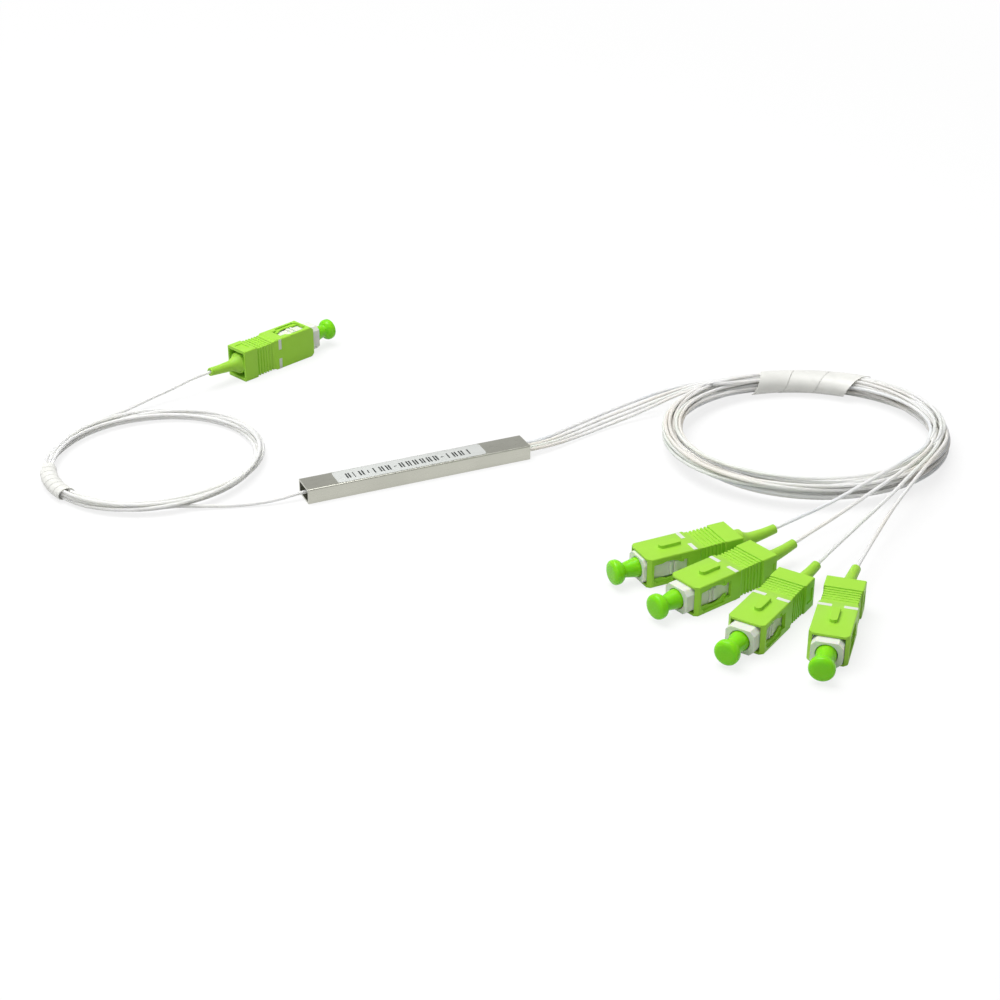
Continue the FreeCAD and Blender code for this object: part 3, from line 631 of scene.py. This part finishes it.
@dataclass(frozen=True)
class Winding:
    """Lays the turns of one or more leads clockwise into a coil, side by side."""

    coil: Coil
    turns: int
    lead_diameter: float
    seed: int
    stations_per_turn: int = 24
    spare_gap: float = 0.03
    wander: float = 0.75
    rounds: int = 420
    push_share: float = 0.9
    between_share: float = 0.5
    smoothing: float = 0.1

    def lay(self, entries: Sequence[Point], exits: Sequence[Point]) -> list[np.ndarray]:
        """Work out every lead's points through the coil.

        Each lead first wanders at random through the bundle's section, as smooth noise along its
        length. Strands that lie closer than a diameter are then pushed apart, at the stations and
        half way between them, while each lead is smoothed along its length and held in the section.

        Args:
            entries: The last free point of each lead before the coil.
            exits: The first free point of each lead after the coil.

        Returns:
            For each lead its points between the entry and the exit.
        """
        step = FULL_TURN / self.stations_per_turn
        start = float(np.mean([self.coil.heading_of(p) for p in entries]))
        end = float(np.mean([self.coil.heading_of(p) for p in exits]))
        sweep = FULL_TURN * self.turns + (start - end) % FULL_TURN
        count = math.ceil(sweep / step) + 1
        heading = start - step * np.arange(count)
        bound = np.stack([self.coil.half_width(heading), self.coil.half_height(heading)], axis=-1)
        bound = bound - self.lead_diameter / 2
        pins = np.array([[self.coil.offset(a, start), self.coil.offset(b, heading[-1])]
                         for a, b in zip(entries, exits)])
        places = self._wandering(len(entries), count) * bound
        for _ in range(self.rounds):
            places = self._settled(places, bound, pins)
        swell = 4 / (3 + math.cos(math.radians(step)))
        points = self.coil.place(heading, places, swell)
        return [points[i, 1:-1] for i in range(len(entries))]

    def _wandering(self, leads: int, count: int) -> np.ndarray:
        """Smooth random places in the unit disc: a slow walk in angle and distance for each lead."""
        random = np.random.default_rng(self.seed)
        knots = count // 8 + 3
        stations = np.linspace(0, knots - 1, count)
        low = np.floor(stations).astype(int).clip(0, knots - 2)
        share = smooth_ramp(stations - low)[:, None]
        walk = random.normal(size=(leads, knots, 2)) * self.wander
        return walk[:, low] * (1 - share) + walk[:, low + 1] * share

    def _settled(self, places: np.ndarray, bound: np.ndarray, pins: np.ndarray) -> np.ndarray:
        """One round: push strands apart, smooth each lead, hold all in the section, pin the ends."""
        middles = (places[:, 1:] + places[:, :-1]) / 2
        between = self._pushes(middles)
        moved = places + self.push_share * self._pushes(places)
        moved[:, 1:] += self.between_share * between
        moved[:, :-1] += self.between_share * between
        moved[:, 1:-1] += self.smoothing * (moved[:, 2:] + moved[:, :-2] - 2 * moved[:, 1:-1])
        outside = np.linalg.norm(moved / bound, axis=-1, keepdims=True)
        moved = moved / np.maximum(outside, 1.0)
        moved[:, 0], moved[:, -1] = pins[:, 0], pins[:, 1]
        return moved

    def _pushes(self, places: np.ndarray) -> np.ndarray:
        """Shift that parts every two strands of a section that lie closer than a lead is thick."""
        leads, count = places.shape[:2]
        per_turn = self.stations_per_turn
        turns = math.ceil(count / per_turn)
        padded = np.full((leads, turns * per_turn, 2), np.nan)
        padded[:, :count] = places
        strands = padded.reshape(leads * turns, per_turn, 2).transpose(1, 0, 2)
        apart = strands[:, :, None] - strands[:, None]
        distance = np.linalg.norm(apart, axis=-1)
        gap = self.lead_diameter + self.spare_gap
        near = np.nan_to_num(distance, nan=gap) < gap
        near &= ~np.eye(leads * turns, dtype=bool)
        amount = np.where(near, (gap - distance) / 2 / np.maximum(distance, 1e-3), 0.0)
        shift = (np.nan_to_num(apart) * np.nan_to_num(amount)[..., None]).sum(axis=2)
        return shift.transpose(1, 0, 2).reshape(leads, turns * per_turn, 2)[:, :count]


class Seat(Enum):
    """Which part of a plug a piece belongs to, and so how it is placed."""

    SLEEVE = "sleeve"
    CORE = "core"
    BOOT = "boot"


@dataclass(frozen=True)
class PlugPlace:
    """Where a plug lies: its sleeve's rear end, the heading of its nose and its roll in degrees.

    The core stands forward in the sleeve, and the boot's tail is lifted and leans sideways.
    """

    x: float
    y: float
    z: float
    heading: float
    roll: float = 0.0
    forward: float = 0.0
    lift: float = 1.1
    lean: float = 0.0

    def points(self, local: np.ndarray, seat: Seat) -> np.ndarray:
        """Carry points from the plug's own frame, where the nose points along +X.

        Args:
            local: Points on the last axis.
            seat: The part of the plug that they belong to.

        Returns:
            The points in the part's frame: moved forward, rolled about X, turned about Z, moved.
        """
        roll = math.radians(-self.lean if seat is Seat.BOOT else self.roll)
        turn = math.radians(self.heading)
        about_x = np.array([[1, 0, 0], [0, math.cos(roll), -math.sin(roll)],
                            [0, math.sin(roll), math.cos(roll)]])
        about_z = np.array([[math.cos(turn), -math.sin(turn), 0],
                            [math.sin(turn), math.cos(turn), 0], [0, 0, 1]])
        ahead = np.array([0.0 if seat is Seat.SLEEVE else self.forward, 0, 0])
        return (local + ahead) @ (about_z @ about_x).T + np.array([self.x, self.y, self.z])


@dataclass(frozen=True)
class BootAxis:
    """The boot's bent axis: straight in its flange, then rising behind it as a parabola."""

    lift: float
    flange_rear: float = -0.6
    tail_rear: float = -10.2
    lead_inside: float = 3.7
    lead_behind: float = 3.3

    def rise(self, x: np.ndarray) -> np.ndarray:
        """Height of the axis above the plug's own: the lift times the square of the share behind."""
        share = np.maximum(0.0, (self.flange_rear - x) / (self.flange_rear - self.tail_rear))
        return self.lift * share ** 2

    def slope(self, x: np.ndarray) -> np.ndarray:
        """Upward slope of the axis towards the tail."""
        span = self.flange_rear - self.tail_rear
        return 2 * self.lift * np.maximum(0.0, self.flange_rear - x) / span ** 2

    def lead_points(self) -> np.ndarray:
        """Two points of a lead in the plug's frame: clear of the tail, and inside its bore."""
        tail = np.array(self.tail_rear)
        inside = tail + self.lead_inside
        rise = self.rise(tail) + self.slope(tail) * self.lead_behind
        return np.array([[tail - self.lead_behind, 0, rise], [inside, 0, self.rise(inside)]])


@dataclass(frozen=True)
class LeadRoute:
    """One lead's free stretches: from the tube to its coil, and from the coil to its plug."""

    name: str
    jacket: Jacket
    tube_end: float
    tube_y: float
    near: tuple[Point, ...]
    far: tuple[Point, ...]
    plug: PlugPlace
    plug_name: str
    length: float


@dataclass(frozen=True)
class LeadSet:
    """The leads that share one coil, each of them one free cord from the tube to its plug."""

    name: str
    coil: Coil
    turns: int
    routes: tuple[LeadRoute, ...]
    seed: int
    diameter: float = 0.9
    tube_length: float = 60.0
    tube_axis: float = 2.0

    def build(self) -> dict[str, bpy.types.Object]:
        """Build every lead as one smooth curve and return them by name."""
        winding = Winding(self.coil, self.turns, self.diameter, self.seed)
        coiled = winding.lay([r.near[-1] for r in self.routes], [r.far[0] for r in self.routes])
        return {r.name: self._lead(r, turns) for r, turns in zip(self.routes, coiled)}

    def _mouth(self, route: LeadRoute) -> Point:
        """The place in the tube's mouth where a lead leaves it."""
        side = math.copysign(1.0, route.tube_end)
        return side * self.tube_length / 2, route.tube_y, self.tube_axis

    def _lead(self, route: LeadRoute, turns: np.ndarray) -> bpy.types.Object:
        """One lead: out of the tube, along its free stretch, round the coil and into its boot."""
        mouth = np.array([(route.tube_end, route.tube_y, self.tube_axis), self._mouth(route)])
        boot = route.plug.points(BootAxis(route.plug.lift).lead_points(), Seat.BOOT)
        points = np.concatenate([mouth, np.array(route.near), turns, np.array(route.far), boot])
        curve = bpy.data.curves.new(route.name, "CURVE")
        curve.dimensions = "3D"
        curve.bevel_depth = self.diameter / 2 * MM
        curve.bevel_resolution = 4
        curve.use_fill_caps = True
        spline = curve.splines.new("NURBS")
        spline.points.add(len(points) - 1)
        homogeneous = np.concatenate([points * MM, np.ones((len(points), 1))], axis=1)
        spline.points.foreach_set("co", homogeneous.ravel())
        spline.order_u = 3
        spline.use_endpoint_u = True
        spline.resolution_u = 6
        spline.use_smooth = True
        return route.jacket.dress(placed(route.name, curve))

    def declare(self, pieces: dict[str, bpy.types.Object],
                plug_pieces: dict[str, list[bpy.types.Object]]) -> None:
        """Say what each lead replaces, rides on and measures.

        Args:
            pieces: The leads by name.
            plug_pieces: The pieces of each lead's plug, by the lead's name; not used.
        """
        for number, route in enumerate(self.routes, start=1):
            piece = pieces[route.name]
            tail = "" if len(self.routes) == 1 else f"_{number}"
            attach(piece, "root")
            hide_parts(f"{self.name}_lead_near{tail}", f"{self.name}_lead_far{tail}",
                        f"{self.name}_coil")
            tuple(MM * c for c in self._mouth(route))
            self.diameter * MM
            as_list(plug_pieces[route.name])


# ================================================================ plugs
@dataclass(frozen=True)
class Plug:
    """A push-pull plug: sleeve with its white marks, frame, boot and dust cap."""

    name: str
    place: PlugPlace
    nose_tip: float = 27.1
    half_width: float = 4.5
    half_height: float = 3.7
    mark_rear: float = 12.15
    mark_front: float = 13.15
    mark_inner: float = 1.35
    mark_lap: float = 0.03
    mark_inset: float = 0.12
    boot_front: float = 2.0
    boot_flange: float = 5.9
    boot_neck: float = 2.9
    boot_neck_rear: float = -4.2
    boot_tail: float = 2.3
    boot_bore: float = 1.1
    boot_bore_length: float = 3.2
    boot_mouth: float = 3.4
    boot_socket: float = 3.24
    boot_socket_rear: float = -1.2
    boot_shoulder: float = 0.25
    boot_flare: float = 2.2
    boot_draw: float = 0.05
    boot_easing: float = 0.22
    boot_segments: int = 40
    cap_stem: float = 4.6
    cap_neck: float = 3.35
    cap_head: float = 5.9
    cap_bore: float = 2.64
    cap_inside: float = 6.2
    cap_neck_end: float = 4.0
    cap_shoulder: float = 0.4
    cap_end_wall: float = 0.45
    cap_neck_gap: float = 0.25
    cap_easing: float = 0.4
    cap_dome: tuple[tuple[float, float], ...] = (
        (0.1, 0.8), (0.95, 1.0), (2.0, 1.0), (2.42, 0.93), (2.74, 0.72), (2.8, 0.4), (2.8, 0.0))
    cap_segments: int = 56
    spring_rear: float = 11.0
    spring_front: float = 16.6
    spring_outer: float = 4.1
    spring_wire: float = 0.5
    spring_turns: int = 7
    spring_kept: float = 0.82

    def build(self) -> dict[str, bpy.types.Object]:
        """Build and dress every piece of the plug and return them by kind."""
        pieces = {"sleeve": self._sleeve(), "marks": self._marks(), "frame": self._frame(),
                  "boot": self._boot(), "cap": self._cap()}
        pieces["spring"] = self._spring()
        pieces["ferrule"] = seated(
            carried(f"{self.name}_ceramic", f"{self.name}_ferrule", 0.06), CERAMIC,
            f"{self.name}_ferrule_body", "ceramic")
        pieces["stop_ring"] = seated(
            carried(f"{self.name}_rear_ring", f"{self.name}_stop_ring", 0.08), RING_METAL, "root",
            "stop_ring_metal")
        return pieces

    def _spring(self) -> bpy.types.Object:
        """The spring behind the ferrule.

        The wire's middle line is x = rear + length s, y = R cos a, z = R sin a with a = 2 pi N s;
        a ring of it adds wire radius (cos b) outwards and (sin b) along X.
        """
        ring, radius = self.spring_wire / 2, (self.spring_outer - self.spring_wire) / 2
        share = np.linspace(0, 1, 24 * self.spring_turns)[:, None]
        length = self.spring_front - self.spring_rear - self.spring_wire
        a = 2 * np.pi * self.spring_turns * share
        b = 2 * np.pi * np.arange(10) / 10
        reach = radius + ring * np.cos(b)
        grid = np.stack([self.spring_rear + ring + length * share + ring * np.sin(b),
                         reach * np.cos(a), reach * np.sin(a)], axis=-1)
        piece = skin(f"{self.name}_coil_spring", self.place.points(grid, Seat.CORE))
        seated(piece, SPRING_WIRE, "root", "spring_steel", f"{self.name}_spring")
        rear, front = (self.place.points(np.array([x, 0.0, 0.0]), Seat.CORE)
                       for x in (self.spring_rear, self.spring_front))
        tuple(front - rear)
        tuple(rear * MM)
        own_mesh(piece)
        return piece

    def _sleeve(self) -> bpy.types.Object:
        """The green coupling sleeve with softened edges."""
        piece = carried(f"{self.name}_shell", f"{self.name}_coupling_sleeve", 0.09)
        return seated(piece, SLEEVE_GREEN, f"{self.name}_sleeve", "sleeve_green")

    def _frame(self) -> bpy.types.Object:
        """The white inner frame with softened edges."""
        piece = carried(f"{self.name}_inner_frame", f"{self.name}_plug_frame", 0.1)
        return seated(piece, FRAME_WHITE, "root", "frame_white")

    def _marks(self) -> bpy.types.Object:
        """Two short white marks on each wide face, as thin plates that lap into the sleeve."""
        low = np.array([self.mark_rear, self.mark_inner, self.half_height - self.mark_lap])
        high = np.array([self.mark_front, self.half_width - self.mark_inset,
                         self.half_height + self.mark_lap])
        boxes = []
        for sideways in (-1, 1):
            for up in (-1, 1):
                ends = np.stack([low, high]) * np.array([1, sideways, up])
                boxes.append(np.stack([ends.min(axis=0), ends.max(axis=0)]))
        points, faces = blocks(np.array(boxes))
        piece = mesh_piece(f"{self.name}_marks", self.place.points(points, Seat.SLEEVE), faces)
        return seated(piece, STRIPE_WHITE, f"{self.name}_sleeve", "frame_white")

    def _boot(self) -> bpy.types.Object:
        """The boot: a rounded flange, a hollow cone and a slim tail carried along a bent axis.

        Each ring stands square to the axis: centre (x, 0, rise), offset radius (cos a) along Y
        and radius (sin a) along the axis's own upward normal.
        """
        axis = BootAxis(self.place.lift)
        flange, neck, tail = self.boot_flange / 2, self.boot_neck / 2, self.boot_tail / 2
        bore, socket = self.boot_bore / 2, self.boot_socket / 2
        reach = axis.flange_rear - self.boot_neck_rear
        share = np.linspace(0, 1, 12)
        cone = np.stack([axis.flange_rear - reach * share,
                         neck + (flange - self.boot_shoulder - neck) * (1 - share) ** self.boot_flare],
                        axis=1)
        line = np.concatenate([
            [(self.boot_front, self.boot_mouth / 2), (self.boot_front, flange),
             (axis.flange_rear, flange)], cone,
            [((self.boot_neck_rear + axis.tail_rear) / 2, (neck + tail) / 2 - self.boot_draw),
             (axis.tail_rear, tail), (axis.tail_rear, bore),
             (axis.tail_rear + self.boot_bore_length, bore), (self.boot_socket_rear, bore),
             (self.boot_socket_rear, socket), (self.boot_front, socket)]])
        profile = eased(line, self.boot_easing, 4)
        x, radius = profile[:, :1], profile[:, 1:]
        angle = 2 * np.pi * np.arange(self.boot_segments) / self.boot_segments
        slope = axis.slope(x)
        norm = np.sqrt(1 + slope ** 2)
        up = radius * np.sin(angle)
        grid = np.stack([x + up * slope / norm, radius * np.cos(angle),
                         axis.rise(x) + up / norm], axis=-1)
        piece = skin(f"{self.name}_strain_relief", self.place.points(grid, Seat.BOOT), Ends.JOINED)
        return seated(piece, BOOT_GREEN, "root", "boot_green", f"{self.name}_boot")

    def _cap(self) -> bpy.types.Object:
        """The dust cap: a profile turned about the plug's axis, closed at its round head.

        The dome's rows are the distance past the neck's end and the share of the head's radius.
        """
        stem, neck, head = self.cap_stem / 2, self.cap_neck / 2, self.cap_head / 2
        bore, inner = self.cap_bore / 2, self.nose_tip - self.cap_inside
        start, bore_end = self.nose_tip + self.cap_neck_end, self.nose_tip + self.cap_end_wall
        line = [(bore_end, 0.0), (bore_end, bore), (inner, bore), (inner, stem),
                (self.nose_tip + self.cap_shoulder, stem), (start - self.cap_neck_gap, neck)]
        line += [(start + past, head * share) for past, share in self.cap_dome]
        grid = turned(eased(line, self.cap_easing, 5), self.cap_segments)
        piece = skin(f"{self.name}_soft_cap", self.place.points(grid, Seat.CORE), Ends.OPEN, 50.0)
        return seated(piece, CAP_GREEN, f"{self.name}_cap", "cap_green", f"{self.name}_dust_cap")


# ================================================================ wraps and module
@dataclass(frozen=True)
class SpiralWrap:
    """A strip of milky film wound round a coil in slanted turns that nearly touch."""

    name: str
    coil: Coil
    first: float
    last: float
    turns: float
    start: float = 45.0
    clearance: float = 0.04
    thickness: float = 0.24
    gap: float = 0.06
    steps_per_turn: int = 64

    def build(self) -> bpy.types.Object:
        """Build and dress the strip.

        At a turns along and a share u across, the heading is first + pitch (a + (1 - gap) u) and
        the section angle is start + 360 a, on the bundle's oval grown by the clearance and by
        the film, which is thickest along its middle.
        """
        pitch = (self.last - self.first) / (self.turns + 1 - self.gap)
        a = np.linspace(0, self.turns, round(self.turns * self.steps_per_turn))[:, None]
        across = np.linspace(0, 1, 9)
        u = np.concatenate([across, across[::-1]])
        crown = 0.8 + 0.2 * np.sin(np.pi * across)
        rise = np.concatenate([self.thickness * crown, np.zeros(9)])
        heading = self.first + pitch * (a + (1 - self.gap) * u)
        turn = np.radians(self.start + FULL_TURN * a)
        wide = self.coil.half_width(heading) + self.clearance + rise
        high = self.coil.half_height(heading) + self.clearance + rise
        offset = np.stack([wide * np.cos(turn), high * np.sin(turn)], axis=-1)
        piece = skin(f"{self.name}_spiral_wrap", self.coil.place(heading, offset))
        return seated(piece, WRAP_FILM, "root", "wrap_film", f"{self.name}_coil_wrap")


@dataclass(frozen=True)
class Module:
    """The steel tube with its label and end seals, and the optics that it hides."""

    tube_top: float = 4.0
    label_length: float = 40.0
    label_width: float = 6.0
    label_shift: float = -1.8
    label_thickness: float = 0.08
    corner: float = 1.0
    print_start: float = -18.7
    print_height: float = 2.6
    print_middle: float = -0.2
    ink: float = 0.02
    print_bars: tuple[tuple[float, float, float], ...] = (
        (0.0, 0.4, 1.0), (0.7, 0.4, 1.0), (1.9, 0.24, 1.0), (3.5, 0.4, 1.0), (4.3, 0.4, 1.0),
        (5.7, 0.26, 0.6), (7.3, 0.36, 1.0), (8.9, 0.4, 1.0), (9.6, 0.4, 1.0), (10.7, 0.4, 1.0),
        (11.4, 0.4, 1.0), (12.9, 0.75, 0.13), (14.3, 0.4, 1.0), (15.0, 0.4, 1.0),
        (16.2, 0.4, 1.0), (16.9, 0.4, 1.0), (18.0, 0.4, 1.0), (18.7, 0.4, 1.0),
        (19.9, 0.4, 1.0), (20.6, 0.4, 1.0), (21.7, 0.4, 1.0), (22.4, 0.4, 1.0),
        (23.5, 0.4, 1.0), (24.2, 0.4, 1.0), (25.6, 0.75, 0.13), (27.2, 0.36, 1.0),
        (28.7, 0.4, 1.0), (29.4, 0.4, 1.0), (30.5, 0.4, 1.0), (31.2, 0.4, 1.0),
        (32.8, 0.36, 1.0))

    def build(self) -> list[bpy.types.Object]:
        """Build and dress every piece of the module."""
        tube = carried("module_tube", "steel_tube", 0.06)
        seated(tube, TUBE_STEEL, "root", "steel")
        pieces = [tube, self._label(), self._print()]
        for node, finish in (("input_end_seal", SEALANT), ("output_end_seal", SEALANT),
                             ("silicone_bed", SILICONE), ("splitter_chip", GLASS_BLOCK),
                             ("chip_lid", GLASS_BLOCK), ("input_fibre_block", GLASS_BLOCK),
                             ("output_fibre_block", GLASS_BLOCK), ("input_bare_fibre", FIBRE_COAT),
                             ("output_fibre_ribbon", FIBRE_COAT)):
            pieces.append(finish.dress(bpy.data.objects[node]))
        return pieces

    def _label(self) -> bpy.types.Object:
        """The label: a rounded rectangle in two levels, the upper one a little smaller.

        A corner's point at angle a is the corner's centre plus radius (cos a, sin a).
        """
        angle = np.radians(np.arange(0, 361, 9))
        quarter = np.minimum(np.arange(len(angle)) // 10, 3)
        side = np.array([[1, 1], [-1, 1], [-1, -1], [1, -1]])[quarter]
        half = np.array([self.label_length, self.label_width]) / 2 - self.corner
        rings = []
        for inset, height in ((0.0, 0.0), (0.0, 0.7), (0.04, 1.0)):
            flat = side * half + (self.corner - inset) * np.stack([np.cos(angle), np.sin(angle)], 1)
            level = np.full((len(flat), 1), self.tube_top + self.label_thickness * height)
            rings.append(np.hstack([flat + [self.label_shift, 0.0], level]))
        piece = skin("module_label", np.stack(rings)[:, :-1])
        return seated(piece, LABEL_WHITE, "root", "label_film", "label")

    def _print(self) -> bpy.types.Object:
        """A row of plain dark marks on the label, that say nothing."""
        along, width, share = np.array(self.print_bars).T
        count = len(along)
        middle = self.print_start + along
        half_width, half_height = width / 2, share * self.print_height / 2
        level = self.tube_top + self.label_thickness
        low = np.stack([middle - half_width, self.print_middle - half_height,
                        np.full(count, level - self.ink)], axis=1)
        high = np.stack([middle + half_width, self.print_middle + half_height,
                         np.full(count, level + self.ink)], axis=1)
        points, faces = blocks(np.stack([low, high], axis=1))
        return seated(mesh_piece("label_marks", points, faces), LABEL_INK, "root", "label_film")


INPUT_COIL = Coil(
    centre=(-58.65, 32.55), axes=(27.15, 25.7), tilt=20.7,
    half_widths=(3.3, 2.8, 1.5, 1.3, 1.9, 2.0, 2.6, 2.8),
    half_heights=(1.7, 1.5, 1.6, 1.7, 1.5, 1.6, 1.8, 1.9))
OUTPUT_COIL = Coil(
    centre=(98.5, -25.0), axes=(35.0, 32.5), tilt=0.0,
    half_widths=(4.8, 4.1, 3.0, 2.7, 3.4, 5.2, 4.3, 3.8),
    half_heights=(3.3, 2.7, 3.0, 4.2, 4.6, 4.5, 4.0, 3.9))

INPUT_PLUG = PlugPlace(-23.6, 74.9, 4.5, 21.8, -90.0, 0.7, 0.5)
OUTPUT_PLUGS = (
    PlugPlace(52.2, -68.1, 3.7, -178.2, forward=-1.5),
    PlugPlace(54.4, -78.2, 3.7, -165.6),
    PlugPlace(55.4, -91.1, 3.7, -147.3, forward=0.4, lean=25.0),
    PlugPlace(64.2, -97.9, 3.7, -131.2, lean=50.0),
)

PLAIN_JACKET = Jacket("jacket_plain", paint(236, 238, 226), 0.6)
JACKETS = (
    Jacket("jacket_cool", paint(208, 220, 233), 0.7),
    Jacket("jacket_warm", paint(234, 221, 202), 0.7),
    Jacket("jacket_green", paint(220, 231, 212), 0.7),
    Jacket("jacket_brown", paint(222, 212, 198), 0.7),
)
LEAD_START = 23.0
LEAD_PITCH = 1.2

NEAR_ROUTES = (
    ((37.6, 3.5, 1.4), (47.3, 7.9, 0.9), (58.0, 11.6, 0.9), (69.0, 13.6, 1.8), (79.0, 14.3, 3.0),
     (88.0, 12.7, 4.2), (97.0, 9.4, 4.6)),
    ((37.6, 1.9, 1.4), (47.0, 5.7, 0.9), (57.8, 9.4, 0.9), (68.8, 11.3, 1.8), (79.0, 11.9, 3.4),
     (88.0, 10.6, 4.9), (96.6, 8.2, 5.0)),
    ((37.6, 0.6, 1.4), (46.6, 3.7, 0.9), (57.4, 7.2, 0.9), (68.4, 9.0, 1.9), (79.0, 9.4, 4.0),
     (88.0, 8.4, 5.7), (96.2, 6.9, 5.3)),
    ((37.6, -0.7, 1.4), (46.0, 1.9, 0.9), (57.0, 5.0, 0.9), (67.8, 6.7, 2.0), (78.6, 7.0, 4.9),
     (87.6, 6.2, 6.3), (95.6, 5.6, 5.6)),
)
FAR_ROUTES = (
    ((123.3, -44.4, 6.3), (117.3, -51.6, 8.2), (107.6, -56.3, 8.5), (97.4, -60.4, 8.4),
     (87.4, -63.8, 7.9), (79.8, -65.6, 6.8)),
    ((124.5, -45.3, 6.9), (116.7, -53.5, 8.3), (106.1, -59.8, 8.5), (94.6, -65.2, 8.3),
     (85.6, -68.6, 7.4), (77.2, -71.3, 6.1)),
    ((125.7, -46.4, 6.9), (116.4, -55.5, 8.4), (106.2, -62.2, 8.5), (98.0, -67.6, 8.2),
     (90.6, -71.6, 7.3), (83.2, -75.3, 6.3), (75.4, -79.6, 5.6)),
    ((126.9, -47.2, 6.2), (117.2, -56.2, 8.3), (108.0, -62.9, 8.4), (100.2, -68.6, 8.1),
     (93.4, -73.3, 7.3), (86.8, -78.4, 6.3)),
)

INPUT_LEADS = LeadSet("input", INPUT_COIL, 5, (
    LeadRoute("input_lead", PLAIN_JACKET, -LEAD_START, 0.0,
              ((-38.0, 0.1, 1.0), (-46.5, 2.2, 0.55), (-54.0, 4.6, 0.9), (-61.0, 6.5, 1.6)),
              ((-77.0, 50.5, 2.0), (-70.5, 56.2, 2.6), (-64.5, 60.4, 2.3), (-58.0, 64.0, 1.6),
               (-51.3, 66.9, 2.2), (-44.0, 68.6, 3.25)),
              INPUT_PLUG, "input", 0.98),), seed=5)
OUTPUT_LEADS = LeadSet("output", OUTPUT_COIL, 4, tuple(
    LeadRoute(f"output_lead_{i + 1}", JACKETS[i], LEAD_START, (1.5 - i) * LEAD_PITCH,
              NEAR_ROUTES[i], FAR_ROUTES[i], OUTPUT_PLUGS[i], f"output_{i + 1}", 1.08)
    for i in range(4)), seed=11)

WRAPS = (SpiralWrap("input", INPUT_COIL, 168.0, 204.0, 6.5),
         SpiralWrap("output", OUTPUT_COIL, 30.5, 86.5, 2.5, gap=0.015))


# ================================================================ studio
@dataclass(frozen=True)
class Studio:
    """The camera, the soft lamps, the world and the pale floor."""

    target: Point = (14.0, -20.3, 0.0)
    azimuth: float = -23.95
    elevation: float = 28.22
    distance: float = 495.4
    focal_length: float = 72.2
    floor_size: float = 6000.0
    ambient: float = 0.28
    ceiling_level: float = 0.5
    dim_from: float = 0.45

    def camera(self) -> None:
        """Place the camera on the sphere round its target and make it the scene's own."""
        turn, rise = math.radians(self.azimuth), math.radians(self.elevation)
        away = Vector((math.sin(turn) * math.cos(rise), -math.cos(turn) * math.cos(rise),
                       math.sin(rise)))
        lens = bpy.data.cameras.new("camera")
        lens.lens = self.focal_length
        lens.sensor_width = 36.0
        lens.clip_start = 0.01
        lens.clip_end = 20.0
        camera = placed("camera", lens)
        camera.location = (Vector(self.target) + away * self.distance) * MM
        camera.rotation_euler = (-away).to_track_quat("-Z", "Y").to_euler()
        bpy.context.scene.camera = camera

    def floor(self) -> None:
        """Lay the floor as a square at z = 0."""
        half = self.floor_size / 2
        corners = np.array([[-half, -half, 0], [half, -half, 0], [half, half, 0], [-half, half, 0]])
        piece = mesh_piece("floor", corners, [(0, 1, 2, 3)])
        Backdrop().dress(piece)

    def lamp(self, name: str, place: Point, aim: Point, size: float, power: float) -> None:
        """Hang one square soft lamp.

        Args:
            name: The lamp's name.
            place: Its middle in millimetres.
            aim: The point that it faces.
            size: The side of its square in millimetres.
            power: Its power in watts.
        """
        light = bpy.data.lights.new(name, "AREA")
        light.shape = "SQUARE"
        light.size = size * MM
        light.energy = power
        lamp = placed(name, light)
        lamp.location = Vector(place) * MM
        lamp.rotation_euler = (Vector(aim) - Vector(place)).to_track_quat("-Z", "Y").to_euler()

    def world(self) -> None:
        """White surroundings to the camera, dimmer as light, with a dim ceiling in metal."""
        world = bpy.data.worlds.new("surroundings")
        world.use_nodes = True
        sky = NodeTree(world.node_tree)
        seen, mirrored, through = (
            sky.add("ShaderNodeLightPath", {}, {}, f"Is {kind} Ray")
            for kind in ("Camera", "Glossy", "Transmission"))
        seen = (seen + through).clamped()
        way = sky.add("ShaderNodeTexCoord", {}, {}, "Generated")
        height = sky.add("ShaderNodeSeparateXYZ", {}, {"Vector": way}, "Z")
        overhead = (height * (1.0 / self.dim_from)).clamped()
        ceiling = 1.0 - (1.0 - self.ceiling_level) * overhead
        unseen = mirrored * ceiling + (1.0 - mirrored) * self.ambient
        background = sky.add("ShaderNodeBackground", {}, {
            "Color": (1.0, 1.0, 1.0), "Strength": seen + (1.0 - seen) * unseen})
        sky.add("ShaderNodeOutputWorld", {"is_active_output": True}, {"Surface": background}, None)
        bpy.context.scene.world = world

    def build(self) -> None:
        """Set up the whole studio."""
        self.floor()
        self.world()
        self.lamp("key", (-120.0, 160.0, 820.0), (20.0, 0.0, 0.0), 700.0, 7.9)
        self.lamp("fill", (-620.0, -420.0, 420.0), (20.0, -20.0, 0.0), 500.0, 1.0)
        bpy.context.scene.view_settings.view_transform = "Standard"


def main() -> None:
    """Load the frame, dress the part and report each piece."""
    logging.basicConfig(level=logging.INFO, format="%(name)s: %(message)s")
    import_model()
    studio = Studio()
    studio.camera()
    studio.build()
    for leads in (INPUT_LEADS, OUTPUT_LEADS):
        cords = leads.build()
        plugs = {r.name: Plug(r.plug_name, r.plug).build() for r in leads.routes}
        leads.declare(cords, {name: list(pieces.values()) for name, pieces in plugs.items()})
        for name, pieces in plugs.items():
            LOG.info("%s with %s", name, ", ".join(p.name for p in pieces.values()))
    pieces = Module().build() + [wrap.build() for wrap in WRAPS]
    LOG.info("module and wraps: %s", ", ".join(p.name for p in pieces))


if __name__ == "__main__":
    main()
